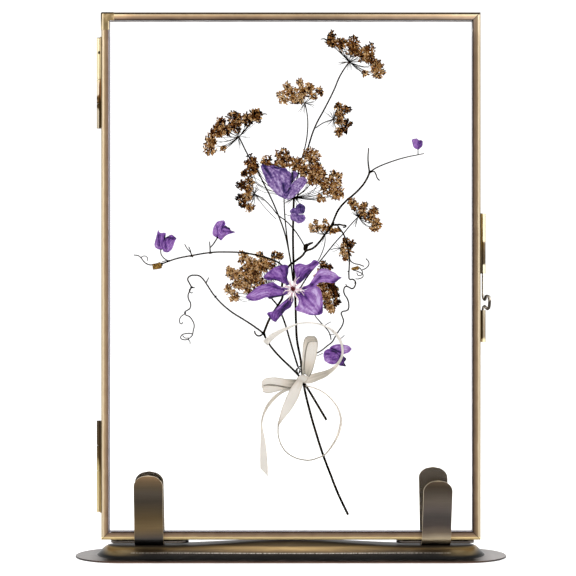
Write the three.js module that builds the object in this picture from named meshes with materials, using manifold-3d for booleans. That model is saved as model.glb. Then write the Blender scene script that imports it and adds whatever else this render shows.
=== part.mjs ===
// A pressed bouquet between two hinged panes of glass in a brass frame, standing in a brass
// clip stand. Millimetres, +Z up, the front faces -Y. The origin is on the ground under the
// middle of the stand.
import * as THREE from 'three';
import { mergeVertices } from 'three/addons/utils/BufferGeometryUtils.js';
import Module from 'manifold-3d';

const wasm = await Module();
wasm.setup();

// ---------- driving dimensions ----------
const FRAME_WIDTH = 220.5;
const FRAME_HEIGHT = 306.5;
const FRAME_LIFT = 10; // ground to the underside of the frame
const LEAF_DEPTH = 5.85; // one of the two leaves, front to back
const LEAF_GAP = 0.15; // half of the gap between the closed leaves
const BAR_FACE = 4.4; // width of a bar seen from the front
const BAR_WALL = 1.2;
const LIP_DEPTH = 1.85;
const SLOT_DEPTH = 2.3;
const MITRE_GAP = 0.05;
const PANE_THICKNESS = 2;
const PANE_INSET = 1.5; // outer edge of the frame to the edge of the pane
const CORNER_STRAP = { along: 8, down: 11, wall: 0.35, gap: 0.1, wrap: 2 };

const STAND_STRAIGHT = 97; // half length of the straight sides of the stand
const STAND_BOW = 1.2; // the ridge rises this much towards the middle
const STAND_BOW_REACH = 55;
const STAND_END_STEPS = 10; // facets round each end of the stand
const RIDGE_HEIGHT = 6.8;
const RIM = { halfLength: 125.5, halfDepth: 26.5, height: 0.8 };

const CLIP_SHEET = 1.2;
const CLIP_WIDTH = 16.8;
const CLIP_ARM = { length: 45.5, width: 9 };
const CLIP_REST = RIDGE_HEIGHT + 0.1; // underside of the clip
const CLIP_HALF_GAP = 6.3; // middle plane to the inner face of a tongue
const CLIP_BEND = 3.1; // inner bend radius
const CLIP_FLARE = 2; // outward lean of a tongue at its top
const CLIPS = [
  { name: 'clip_left', x: -82.3, frontTop: 47.8, backTop: 47.9, frontLean: -0.4, backLean: 0 },
  { name: 'clip_right', x: 84.2, frontTop: 44.9, backTop: 51.2, frontLean: 1.1, backLean: -0.7 },
];

const HINGE_RADIUS = 1.5;
const HINGE_BORE = 0.75;
const HINGE_PIN = 0.55;
const PLATE = 0.5; // sheet of the hinge and latch plates
const PLATE_REACH = 5; // from the seam between the leaves
const KNUCKLE_GAP = 0.3;
const HINGES = [
  { name: 'upper', top: 302.3, length: 52.9, cuts: [0.46, 0.73], peephole: 0.16 },
  { name: 'lower', top: 78.9, length: 53.2, cuts: [0.27, 0.55], peephole: 0 },
];

const LATCH_X = 112;
const LATCH_RADIUS = 1.65;
const LATCH_BORE = 0.95;
const WIRE_RADIUS = 0.6;
const GUIDE = { top: 199.7, bottom: 164.7 };
const KEEPER = { top: 143.4, bottom: 124.8 };
// Centre line of the bolt wire, top to bottom, with its finger loop between the two barrels.
const BOLT_ROUTE = [
  [112, 188.5], [112, 176], [112, 164], [112, 154], [112.1, 150.9], [112.8, 149.6],
  [113.6, 150.5], [114.1, 151.8], [115.1, 151.6], [115.8, 149.6], [115.9, 147.2],
  [115.6, 145.2], [115, 143.9], [114.3, 144], [113.6, 145.1], [112.6, 145.6],
  [112.05, 144.4], [112, 141.5], [112, 135.4],
];

// The pressed plants were laid out on squared paper: SQUARE is one square, columns run to the
// right and rows run down, and a point [column, row] lands on the plane between the panes.
const SQUARE = 0.584;
const PAPER = { column: 288, row: 288, x: -1.7, z: 156.3 };
// Pressed pieces that cross lie in layers: the back face of each layer and its thickness.
const LAYER = {
  ribbon: { back: -1.2, thickness: 0.6 },
  flower: { back: -0.55, thickness: 0.5 },
  main: { back: 0.2, thickness: 0.6 },
  side: { back: 0.75, thickness: 0.45 },
  vine: { back: 1.3, thickness: 0.45 },
  low: { back: 1.8, thickness: 0.4 },
};
const RAY_WIDTH = 0.35;
const SMALLEST_STEP = 0.06; // finer detail than this is smoothed away where pieces fuse

// ---------- finishes ----------
const finish = (color, roughness, metalness) =>
  new THREE.MeshStandardMaterial({ color, roughness, metalness });
const BRASS = finish(0xb59a74, 0.35, 1);
const BRIGHT_BRASS = finish(0xe6cf9c, 0.3, 1);
const DARK_BRASS = finish(0x6b5a45, 0.4, 1);
const SOLDERED = finish(0xa58f6a, 0.6, 1);
const GLASS = new THREE.MeshStandardMaterial({
  color: 0xf4f8f6, roughness: 0.03, metalness: 0, transparent: true, opacity: 0.25,
});
const SEED_BROWN = finish(0x8a623c, 0.9, 0);
const STEM = finish(0x2a2119, 0.8, 0);
const VINE = finish(0x3c352a, 0.8, 0);
const PETAL = finish(0x7b55a8, 0.8, 0);
const HEART = finish(0x4a1418, 0.8, 0);
const SATIN = finish(0xe9e0d0, 0.45, 0);

const group = new THREE.Group();

// ---------- shared makers ----------
function add(name, geometry, material) {
  const mesh = new THREE.Mesh(geometry, material);
  mesh.name = name;
  group.add(mesh);
  return mesh;
}

function toSolid(geometry) {
  const bare = new THREE.BufferGeometry();
  bare.setAttribute('position', geometry.getAttribute('position').clone());
  if (geometry.index) bare.setIndex(geometry.index.clone());
  const merged = mergeVertices(bare, 1e-4);
  return new wasm.Manifold(new wasm.Mesh({
    numProp: 3,
    vertProperties: new Float32Array(merged.getAttribute('position').array),
    triVerts: new Uint32Array(merged.index.array),
  }));
}

function toGeometry(solid) {
  const mesh = solid.getMesh();
  const geometry = new THREE.BufferGeometry();
  geometry.setAttribute('position', new THREE.BufferAttribute(mesh.vertProperties, 3));
  geometry.setIndex(new THREE.BufferAttribute(mesh.triVerts, 1));
  return geometry;
}

const fuse = (geometries) => geometries.map(toSolid)
  .reduce((whole, piece) => whole.add(piece)).asOriginal().simplify(SMALLEST_STEP);

// A flat outline stood up in the XZ plane, from y = back forwards by its thickness.
function standing(shape, back, thickness, curveSegments = 8) {
  const geometry = new THREE.ExtrudeGeometry(shape, {
    depth: thickness, bevelEnabled: false, curveSegments,
  });
  geometry.rotateX(Math.PI / 2);
  geometry.translate(0, back, 0);
  return geometry;
}

// A flat outline lying in the XY plane, from z = bottom upwards.
function lying(shape, bottom, thickness, curveSegments = 8) {
  const geometry = new THREE.ExtrudeGeometry(shape, {
    depth: thickness, bevelEnabled: false, curveSegments,
  });
  geometry.translate(0, 0, bottom);
  return geometry;
}

// The outline of a strip that follows [x, y, width] points on a smooth line.
function stripShape(route, steps) {
  const points = route.map(([x, y, width]) => new THREE.Vector3(x, y, width / 2));
  const line = new THREE.CatmullRomCurve3(points, false, 'centripetal').getPoints(steps);
  const edge = line.map((point, i) => {
    const before = line[Math.max(i - 1, 0)];
    const after = line[Math.min(i + 1, line.length - 1)];
    const along = new THREE.Vector2(after.x - before.x, after.y - before.y).normalize();
    const out = new THREE.Vector2(-along.y, along.x).multiplyScalar(point.z);
    const middle = new THREE.Vector2(point.x, point.y);
    return [middle.clone().sub(out), middle.clone().add(out)];
  });
  return new THREE.Shape([...edge.map((pair) => pair[0]), ...edge.map((pair) => pair[1]).reverse()]);
}

function box(x0, x1, y0, y1, z0, z1) {
  const geometry = new THREE.BoxGeometry(x1 - x0, y1 - y0, z1 - z0);
  geometry.translate((x0 + x1) / 2, (y0 + y1) / 2, (z0 + z1) / 2);
  return geometry;
}

function rod(radius, x, y, bottom, top, segments = 14) {
  const geometry = new THREE.CylinderGeometry(radius, radius, top - bottom, segments);
  geometry.rotateX(Math.PI / 2);
  geometry.translate(x, y, (top + bottom) / 2);
  return geometry;
}

// ---------- stand ----------
const bowAt = (x) => (Math.abs(x) < STAND_BOW_REACH
  ? STAND_BOW * Math.cos((Math.PI * x) / (2 * STAND_BOW_REACH)) ** 2
  : 0);

// One level of the stand: straight long sides joined by half-ellipse ends.
function standRing({ halfLength, halfDepth, height }) {
  const endLength = halfLength - STAND_STRAIGHT;
  const sideSteps = 14;
  const outline = [];
  for (const side of [1, -1]) {
    for (let i = 0; i <= STAND_END_STEPS; i += 1) {
      const angle = -Math.PI / 2 + (Math.PI * i) / STAND_END_STEPS;
      outline.push([
        side * (STAND_STRAIGHT + endLength * Math.cos(angle)), side * halfDepth * Math.sin(angle),
      ]);
    }
    for (let i = 1; i < sideSteps; i += 1) {
      outline.push([side * STAND_STRAIGHT * (1 - (2 * i) / sideSteps), side * halfDepth]);
    }
  }
  return outline.map(([x, y]) =>
    new THREE.Vector3(x, y, height + (bowAt(x) * Math.max(height - 1, 0)) / (RIDGE_HEIGHT - 1)));
}

// Joins level outlines of equal length into one closed skin.
function loft(rings) {
  const count = rings[0].length;
  const position = rings.flat().flatMap((point) => [point.x, point.y, point.z]);
  const index = [];
  for (let level = 0; level < rings.length - 1; level += 1) {
    for (let i = 0; i < count; i += 1) {
      const low = level * count + i;
      const lowNext = level * count + ((i + 1) % count);
      index.push(low, lowNext, lowNext + count, low, lowNext + count, low + count);
    }
  }
  // A cap is a row of bands that run straight across, from a point to its mirror point.
  const mirror = (i) => (count + STAND_END_STEPS - i) % count;
  const cap = (offset, upward) => {
    const middle = STAND_END_STEPS / 2;
    for (let i = middle; i < middle + count / 2; i += 1) {
      for (const [a, b, c] of [[i, i + 1, mirror(i + 1)], [i, mirror(i + 1), mirror(i)]]) {
        const corners = upward ? [a, b, c] : [a, c, b];
        if (new Set(corners).size === 3) index.push(...corners.map((corner) => corner + offset));
      }
    }
  };
  cap(0, false);
  cap((rings.length - 1) * count, true);
  const geometry = new THREE.BufferGeometry();
  geometry.setAttribute('position', new THREE.Float32BufferAttribute(position, 3));
  geometry.setIndex(index);
  return geometry;
}

// A thin rim, a hollow cove, then a rounded shoulder up to the flat ridge.
function addStand() {
  const level = (halfLength, halfDepth, height) => ({ halfLength, halfDepth, height });
  const levels = [
    { ...RIM, height: 0 }, RIM,
    level(113.5, 20.8, 1), level(112.3, 19.8, 1.6), level(111.3, 18.3, 2.7),
    level(110.5, 16.8, 3.7), level(109.7, 15.2, 4.6), level(108.4, 12.2, 5.7),
    level(107, 8.6, 6.5), level(105.6, 5, RIDGE_HEIGHT),
  ];
  add('stand_base', loft(levels.map(standRing)), DARK_BRASS);
}

// ---------- spring clips ----------
// The side view of a clip: down the front tongue, under the frame and up the back tongue.
function clipSideShape(clip) {
  const middle = CLIP_SHEET / 2;
  const upright = CLIP_HALF_GAP + middle;
  const radius = CLIP_BEND + middle;
  const low = CLIP_REST + middle;
  const side = (sign, top) => {
    const points = [];
    for (let i = 0; i <= 4; i += 1) {
      const angle = (Math.PI / 2) * (i / 4);
      points.push([
        sign * (upright - radius + radius * Math.sin(angle)), low + radius * (1 - Math.cos(angle)),
      ]);
    }
    const rise = top - low - radius;
    for (const [share, lean] of [[0.35, 0.2], [0.7, 0.6], [1, 1]]) {
      points.push([sign * (upright + CLIP_FLARE * lean), low + radius + rise * share]);
    }
    return points;
  };
  const floor = [-0.8, -0.4, 0, 0.4, 0.8].map((share) => [share * (upright - radius), low]);
  const route = [...side(-1, clip.frontTop).reverse(), ...floor, ...side(1, clip.backTop)];
  return stripShape(route.map(([y, z]) => [y, z, CLIP_SHEET]), 40);
}

// The front view of one tongue: straight sides and a rounded top, leaning a little.
function tongueShape(top, lean) {
  const half = CLIP_WIDTH / 2;
  const crown = 6.2;
  const tilt = (z) => (lean * (z - CLIP_REST)) / (top - CLIP_REST);
  const outline = [[-half, CLIP_REST - 1], [half, CLIP_REST - 1]];
  for (let i = 0; i <= 10; i += 1) {
    const angle = (Math.PI * i) / 10;
    outline.push([half * Math.cos(angle), top - crown + crown * Math.sin(angle)]);
  }
  return new THREE.Shape(outline.map(([x, z]) => new THREE.Vector2(x + tilt(z), z)));
}

function addClip(clip) {
  const bent = new THREE.ExtrudeGeometry(clipSideShape(clip), {
    depth: CLIP_WIDTH + 4, bevelEnabled: false,
  });
  bent.rotateZ(Math.PI / 2);
  bent.rotateY(Math.PI / 2);
  bent.translate(-(CLIP_WIDTH + 4) / 2, 0, 0);
  const reach = 14;
  const outline = fuse([
    standing(tongueShape(clip.frontTop + 0.1, clip.frontLean), 0, reach),
    standing(tongueShape(clip.backTop + 0.1, clip.backLean), reach, reach),
  ]);
  const arm = new THREE.Shape();
  const half = CLIP_ARM.width / 2;
  const straight = CLIP_ARM.length / 2 - half;
  arm.absarc(straight, 0, half, -Math.PI / 2, Math.PI / 2);
  arm.absarc(-straight, 0, half, Math.PI / 2, (3 * Math.PI) / 2);
  const arms = toSolid(lying(arm, CLIP_REST, CLIP_SHEET));
  const geometry = toGeometry(toSolid(bent).intersect(outline).add(arms));
  add(clip.name, geometry, DARK_BRASS).position.x = clip.x;
}

// ---------- leaves ----------
// Cross-section of a bar: u runs inwards from the outer edge, v back from the front.
function barShape() {
  const crest = 2;
  const shoulder = 1.9;
  const fall = 0.9;
  const outline = [[0, LEAF_DEPTH]];
  for (let i = 0; i <= 6; i += 1) {
    const angle = (Math.PI / 2) * (i / 6);
    outline.push([crest * (1 - Math.cos(angle)), shoulder * (1 - Math.sin(angle))]);
  }
  for (let i = 1; i <= 5; i += 1) {
    const angle = (Math.PI / 2) * (i / 5);
    outline.push([crest + (BAR_FACE - crest) * Math.sin(angle), fall * (1 - Math.cos(angle))]);
  }
  outline.push([BAR_FACE, LIP_DEPTH], [BAR_WALL, LIP_DEPTH], [BAR_WALL, LIP_DEPTH + SLOT_DEPTH]);
  outline.push([BAR_FACE, LIP_DEPTH + SLOT_DEPTH], [BAR_FACE, LEAF_DEPTH]);
  return new THREE.Shape(outline.map(([u, v]) => new THREE.Vector2(u, v)));
}

// A bar of the front leaf with mitred ends; turn says which side of the frame it closes.
function barGeometry(length, distance, turn) {
  const geometry = new THREE.ExtrudeGeometry(barShape(), { depth: 1, bevelEnabled: false });
  const position = geometry.getAttribute('position');
  for (let i = 0; i < position.count; i += 1) {
    const u = position.getX(i);
    const v = position.getY(i);
    const end = length / 2 - u - MITRE_GAP;
    position.setXYZ(i, position.getZ(i) < 0.5 ? end : -end, v - LEAF_DEPTH - LEAF_GAP, u - distance);
  }
  geometry.rotateY(turn);
  geometry.translate(0, 0, FRAME_LIFT + FRAME_HEIGHT / 2);
  return geometry;
}

function addLeaf(name, backwards) {
  const sides = [
    ['bar_bottom', FRAME_WIDTH, FRAME_HEIGHT / 2, 0],
    ['bar_left', FRAME_HEIGHT, FRAME_WIDTH / 2, Math.PI / 2],
    ['bar_top', FRAME_WIDTH, FRAME_HEIGHT / 2, Math.PI],
    ['bar_right', FRAME_HEIGHT, FRAME_WIDTH / 2, -Math.PI / 2],
  ];
  for (const [side, length, distance, turn] of sides) {
    const geometry = barGeometry(length, distance, backwards ? -turn : turn);
    if (backwards) geometry.rotateZ(Math.PI);
    add(`${name}_${side}`, geometry, BRASS);
  }
  const halfWidth = FRAME_WIDTH / 2 - PANE_INSET;
  const front = LEAF_GAP + LEAF_DEPTH - LIP_DEPTH - (SLOT_DEPTH - PANE_THICKNESS) / 2;
  const faces = [-front, PANE_THICKNESS - front].map((y) => (backwards ? -y : y));
  faces.sort((a, b) => a - b);
  const low = FRAME_LIFT + PANE_INSET;
  const high = FRAME_LIFT + FRAME_HEIGHT - PANE_INSET;
  add(`${name}_glass`, box(-halfWidth, halfWidth, faces[0], faces[1], low, high), GLASS);
}

// The lapped strap over the top left corner of the front leaf, where the strip ends meet.
function addCornerStrap() {
  const { along, down, wall, gap, wrap } = CORNER_STRAP;
  const left = -FRAME_WIDTH / 2;
  const top = FRAME_LIFT + FRAME_HEIGHT;
  const front = -LEAF_DEPTH - LEAF_GAP;
  const angle = (offset, width) => new THREE.Shape([
    [left - offset, top - down], [left + width, top - down], [left + width, top - width],
    [left + along, top - width], [left + along, top + offset], [left - offset, top + offset],
  ].map(([x, z]) => new THREE.Vector2(x, z)));
  const skin = standing(angle(gap + wall, BAR_FACE + 0.2), front + wrap, wrap + gap + wall);
  const hollow = standing(new THREE.Shape([
    [left - gap, top - down - 1], [left + along + 1, top - down - 1],
    [left + along + 1, top + gap], [left - gap, top + gap],
  ].map(([x, z]) => new THREE.Vector2(x, z))), front + wrap + 1, wrap + gap + 1);
  add('front_corner_strap', toGeometry(toSolid(skin).subtract(toSolid(hollow))), SOLDERED);
}

// ---------- hinges ----------
// One half of a hinge: a plate on the side of its leaf and the knuckles rolled from it.
function hingeHalf(hinge, leafSide, spans) {
  const centre = -(FRAME_WIDTH / 2 + 0.1 + HINGE_RADIUS);
  const inner = centre + HINGE_RADIUS;
  const bottom = hinge.top - hinge.length;
  const across = (near, far) => [near * leafSide, far * leafSide].sort((a, b) => a - b);
  const clear = HINGE_RADIUS + 0.2;
  const pieces = [box(inner - PLATE, inner, ...across(clear, PLATE_REACH), bottom, hinge.top)];
  for (const [low, high] of spans) {
    pieces.push(box(inner - PLATE, inner, ...across(0, clear + 0.5), low, high));
    pieces.push(rod(HINGE_RADIUS, centre, 0, low, high));
  }
  let half = fuse(pieces);
  half = half.subtract(toSolid(rod(HINGE_BORE, centre, 0, bottom - 1, hinge.top + 1)));
  return half;
}

function addHinge(hinge) {
  const bottom = hinge.top - hinge.length;
  const [upperCut, lowerCut] = hinge.cuts.map((share) => hinge.top - share * hinge.length);
  const gap = KNUCKLE_GAP / 2;
  const centre = -(FRAME_WIDTH / 2 + 0.1 + HINGE_RADIUS);
  let front = hingeHalf(hinge, -1, [[upperCut + gap, hinge.top], [bottom, lowerCut - gap]]);
  if (hinge.peephole) {
    const hole = new THREE.CylinderGeometry(0.45, 0.45, HINGE_RADIUS, 8);
    hole.translate(centre, -HINGE_RADIUS, hinge.top - hinge.peephole * hinge.length);
    front = front.subtract(toSolid(hole));
  }
  const back = hingeHalf(hinge, 1, [[lowerCut + gap, upperCut - gap]]);
  add(`hinge_${hinge.name}_front_leaf`, toGeometry(front), BRIGHT_BRASS);
  add(`hinge_${hinge.name}_back_leaf`, toGeometry(back), BRIGHT_BRASS);
  add(`hinge_${hinge.name}_pin`, rod(HINGE_PIN, centre, 0, bottom, hinge.top), DARK_BRASS);
}

// ---------- latch ----------
function latchBarrel({ top, bottom }, leafSide) {
  const inner = LATCH_X - LATCH_RADIUS;
  const across = [0, PLATE_REACH * leafSide].sort((a, b) => a - b);
  const whole = fuse([
    box(inner, inner + PLATE, ...across, bottom, top),
    rod(LATCH_RADIUS, LATCH_X, 0, bottom, top),
  ]);
  return toGeometry(whole.subtract(toSolid(rod(LATCH_BORE, LATCH_X, 0, bottom - 1, top + 1))));
}

function addLatch() {
  add('latch_guide_barrel', latchBarrel(GUIDE, -1), BRIGHT_BRASS);
  add('latch_keeper_barrel', latchBarrel(KEEPER, 1), BRIGHT_BRASS);
  const path = new THREE.CatmullRomCurve3(
    BOLT_ROUTE.map(([x, z]) => new THREE.Vector3(x, 0, z)), false, 'centripetal',
  );
  const section = new THREE.Shape();
  section.absarc(0, 0, WIRE_RADIUS, 0, 2 * Math.PI);
  const wire = new THREE.ExtrudeGeometry(section, {
    steps: 44, curveSegments: 4, extrudePath: path,
  });
  add('latch_pin', wire, BRIGHT_BRASS);
}

// ---------- pressed plants ----------
const place = ([column, row]) => [
  PAPER.x + (column - PAPER.column) * SQUARE, PAPER.z - (row - PAPER.row) * SQUARE,
];

const pressed = (shape, layer) => standing(shape, layer.back, layer.thickness);

function stem(route, startWidth, endWidth, layer, steps = route.length - 1) {
  const widthAt = (i) => startWidth + ((endWidth - startWidth) * i) / (route.length - 1);
  return pressed(stripShape(route.map((point, i) => [...place(point), widthAt(i)]), steps), layer);
}

function petalShape(outline) {
  return new THREE.Shape(outline.map((point) => new THREE.Vector2(...place(point))));
}

// A small cluster of florets seen flat: a disc with a lobed edge.
function umbellet([column, row, radius], turn, layer) {
  const [x, z] = place([column, row]);
  const outline = [];
  for (let i = 0; i < 8; i += 1) {
    const angle = turn + (Math.PI * i) / 4;
    const reach = radius * SQUARE * (i % 2 ? 0.8 : 1);
    outline.push(new THREE.Vector2(x + reach * Math.cos(angle), z + reach * Math.sin(angle)));
  }
  return pressed(new THREE.Shape(outline), layer);
}

// An umbel: every umbellet on its own thin ray from the hub.
function umbel(hub, umbellets, layer) {
  return umbellets.flatMap((head, i) => [
    umbellet(head, i * 0.7, layer),
    stem([hub, head.slice(0, 2)], RAY_WIDTH, RAY_WIDTH, layer, 1),
  ]);
}

const HEAD_A = {
  hub: [349, 62],
  umbellets: [
    [332, 35.5, 5], [331, 41.5, 5.5], [340.5, 43.5, 6.5], [353, 41.5, 7], [353, 50, 6.5],
    [368, 48.5, 6.5], [361.5, 54.5, 5.5], [369, 56.5, 6.5], [377, 66, 7], [378, 73.5, 6],
    [365, 73.5, 3],
  ],
};
const HEAD_B = {
  hub: [305, 103],
  umbellets: [
    [287.5, 86.5, 4], [281, 95, 4], [283.5, 100, 4], [292, 92.5, 5.5], [293.5, 99.5, 4.5],
    [300.5, 82, 3.5], [302, 91.5, 6], [300, 98.5, 4.5], [310.5, 88, 5], [313, 96, 4],
    [319.5, 90.5, 4],
  ],
};
const HEAD_C = {
  hub: [333.5, 119],
  umbellets: [
    [338.5, 106.5, 4], [346.5, 109.5, 4.5], [340, 114, 5], [347.5, 123, 4], [340.5, 121.5, 5],
    [345, 129, 4], [339, 132, 4.5],
  ],
};
const HEAD_E = {
  hub: [294, 198],
  umbellets: [
    [252, 162, 6.5], [253, 170, 6.5], [244, 174, 4], [266.5, 163, 6], [283.5, 157, 8],
    [280, 165, 6], [296, 164, 7], [311, 156.5, 8], [303.5, 170, 7], [318, 171, 8],
    [312, 178.5, 6.5], [335, 180, 8], [322.5, 181.5, 6.5], [337, 194, 7], [328.5, 190, 6],
    [321, 199, 4],
  ],
};
const HEAD_F = {
  hub: [358, 217],
  umbellets: [
    [351.5, 202, 4.5], [355.5, 205.5, 4.5], [363.5, 207, 5], [362, 212, 4], [373.5, 212, 5],
    [369, 216, 4.5], [373, 219.5, 4.5], [376, 224, 5], [374, 228.5, 4],
  ],
};
const HEAD_G = {
  hub: [325, 234.5],
  umbellets: [
    [316, 222, 3], [311, 226, 3.2], [312, 230, 3.2], [325, 221.5, 3], [318, 227.5, 4.5],
    [323.5, 227.5, 4.5], [330.5, 228, 4.2], [332.5, 231, 3.5], [337.5, 230, 2.8],
  ],
};
const HEAD_H = {
  hub: [340, 248.5],
  umbellets: [
    [346, 241.5, 3.8], [351, 244.5, 4], [343.5, 247.5, 4.2], [349, 252, 3.5], [344, 253, 4.2],
    [346, 257, 3.5],
  ],
};
const HEAD_I = {
  hub: [266, 291],
  umbellets: [
    [244, 257.5, 6], [230.5, 272, 6], [228, 289.5, 5], [235, 297, 5.5], [237.5, 274.5, 5.5],
    [237.5, 284, 6], [246.5, 270.5, 6.5], [245.5, 281.5, 7], [247.5, 289, 5.5], [253.5, 264, 7],
    [254, 275, 7], [258.5, 281.5, 5.5], [260, 254.5, 3.5], [262, 267, 6], [264, 260, 5],
    [270, 264.5, 5], [275, 255.5, 4.5], [280, 256.5, 3.5],
  ],
};
const HEAD_J = {
  hub: [313, 300],
  umbellets: [
    [321.5, 285, 4.5], [330, 285, 5], [324, 291.5, 5.5], [333.5, 289, 4.5], [326.5, 297, 5.5],
    [335, 295, 4.5], [336, 302, 4.5], [328, 304, 5], [331, 309.5, 4.5],
  ],
};

// Two heads were pressed as mirror images of A and C, lower on the left.
const MIRROR = { columns: 588, drop: 75 };
const mirrorPoint = ([column, row, ...rest]) =>
  [MIRROR.columns - column, row + MIRROR.drop, ...rest];
const mirrorHead = ({ hub, umbellets }) => ({
  hub: mirrorPoint(hub), umbellets: umbellets.map(mirrorPoint),
});
const HEAD_D = mirrorHead(HEAD_A);
const HEAD_K = mirrorHead(HEAD_C);

const MAIN_STEM = [
  [293.9, 197], [293.2, 220], [293, 241], [293.5, 262], [294.5, 283], [295.5, 303], [296, 322],
  [297, 340], [300.5, 359], [302, 372], [304, 386], [309, 408], [317, 436], [323.5, 456],
  [330, 473], [337, 491], [348, 514.5],
];

// Wild carrot sprays: [name, layer, heads, stems], a stem being [route, start, end width].
const SPRAYS = [
  ['carrot_main_spray', LAYER.main, [HEAD_E], [[MAIN_STEM, 1.2, 1.3]]],
  ['carrot_spray_a', LAYER.side, [HEAD_A], [
    [[HEAD_A.hub, [340, 76], [334, 90], [325, 108], [315, 127], [308, 148], [301, 176], [297, 200]],
      0.8, 1],
    [[[327, 40.5], [324, 39], [320.5, 39.5]], 1, 0.4],
  ]],
  ['carrot_spray_b', LAYER.low, [HEAD_B], [
    [[HEAD_B.hub, [307.5, 117], [307.5, 131], [305.5, 145], [302, 158], [295, 186]], 0.6, 0.8],
  ]],
  ['carrot_spray_c', LAYER.low, [HEAD_C], [[[HEAD_C.hub, [323, 123], [315.5, 128]], 0.6, 0.6]]],
  ['carrot_spray_d', LAYER.side, [HEAD_D], [
    [[HEAD_D.hub, [249, 157], [257, 170], [264, 184], [270.5, 197], [277, 212], [285, 234],
      [288, 247], [291, 264], [293, 281]], 0.8, 0.9],
    [[[261, 115.5], [264, 114], [267.5, 114.5]], 1, 0.4],
  ]],
  ['carrot_spray_k', LAYER.low, [HEAD_K], [
    [[HEAD_K.hub, [262, 198], [271, 206.5], [278, 215], [286, 221], [292, 227], [300, 238],
      [305, 247]], 0.6, 0.7],
    [[[256, 195], [262, 204], [270, 213], [276, 219]], 0.35, 0.35],
  ]],
  ['carrot_spray_f', LAYER.side, [HEAD_F], [
    [[HEAD_F.hub, [350, 225.5], [343, 234], [336, 241.5], [329, 250], [321, 260], [310, 273],
      [299, 290]], 0.6, 0.8],
  ]],
  ['carrot_spray_g', LAYER.low, [HEAD_G], [
    [[HEAD_G.hub, [325, 242], [323, 250], [318.5, 260], [310, 272], [300, 288]], 0.5, 0.6],
  ]],
  ['carrot_spray_h', LAYER.low, [HEAD_H], [
    [[HEAD_H.hub, [334.5, 248.5], [330.5, 250]], 0.45, 0.45],
  ]],
  ['carrot_spray_i', LAYER.low, [HEAD_I], [
    [[HEAD_I.hub, [273, 300], [277.5, 305.5], [282, 315.5], [285.5, 325], [289, 337],
      [292.5, 349], [298, 367]], 0.8, 0.9],
  ]],
  ['carrot_spray_j', LAYER.low, [HEAD_J], [
    [[HEAD_J.hub, [314.5, 309], [317, 317], [322.5, 322.5], [326.5, 330], [331.5, 340],
      [324, 347], [315.5, 353.5], [306, 366]], 0.6, 0.7],
    [[[329, 267.5], [323.5, 266], [317, 277], [312, 288], HEAD_J.hub], 0.5, 0.5],
  ]],
];
const SINGLE_UMBELLETS = { carrot_spray_j: [[323.5, 265.5, 4.5], [329, 267.5, 3]] };

function addSprays() {
  for (const [name, layer, heads, stems] of SPRAYS) {
    const pieces = heads.flatMap(({ hub, umbellets }) => umbel(hub, umbellets, layer));
    stems.forEach(([route, start, end]) => pieces.push(stem(route, start, end, layer)));
    (SINGLE_UMBELLETS[name] ?? []).forEach((head, i) => pieces.push(umbellet(head, i, layer)));
    add(name, toGeometry(fuse(pieces)), SEED_BROWN);
  }
}

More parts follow.
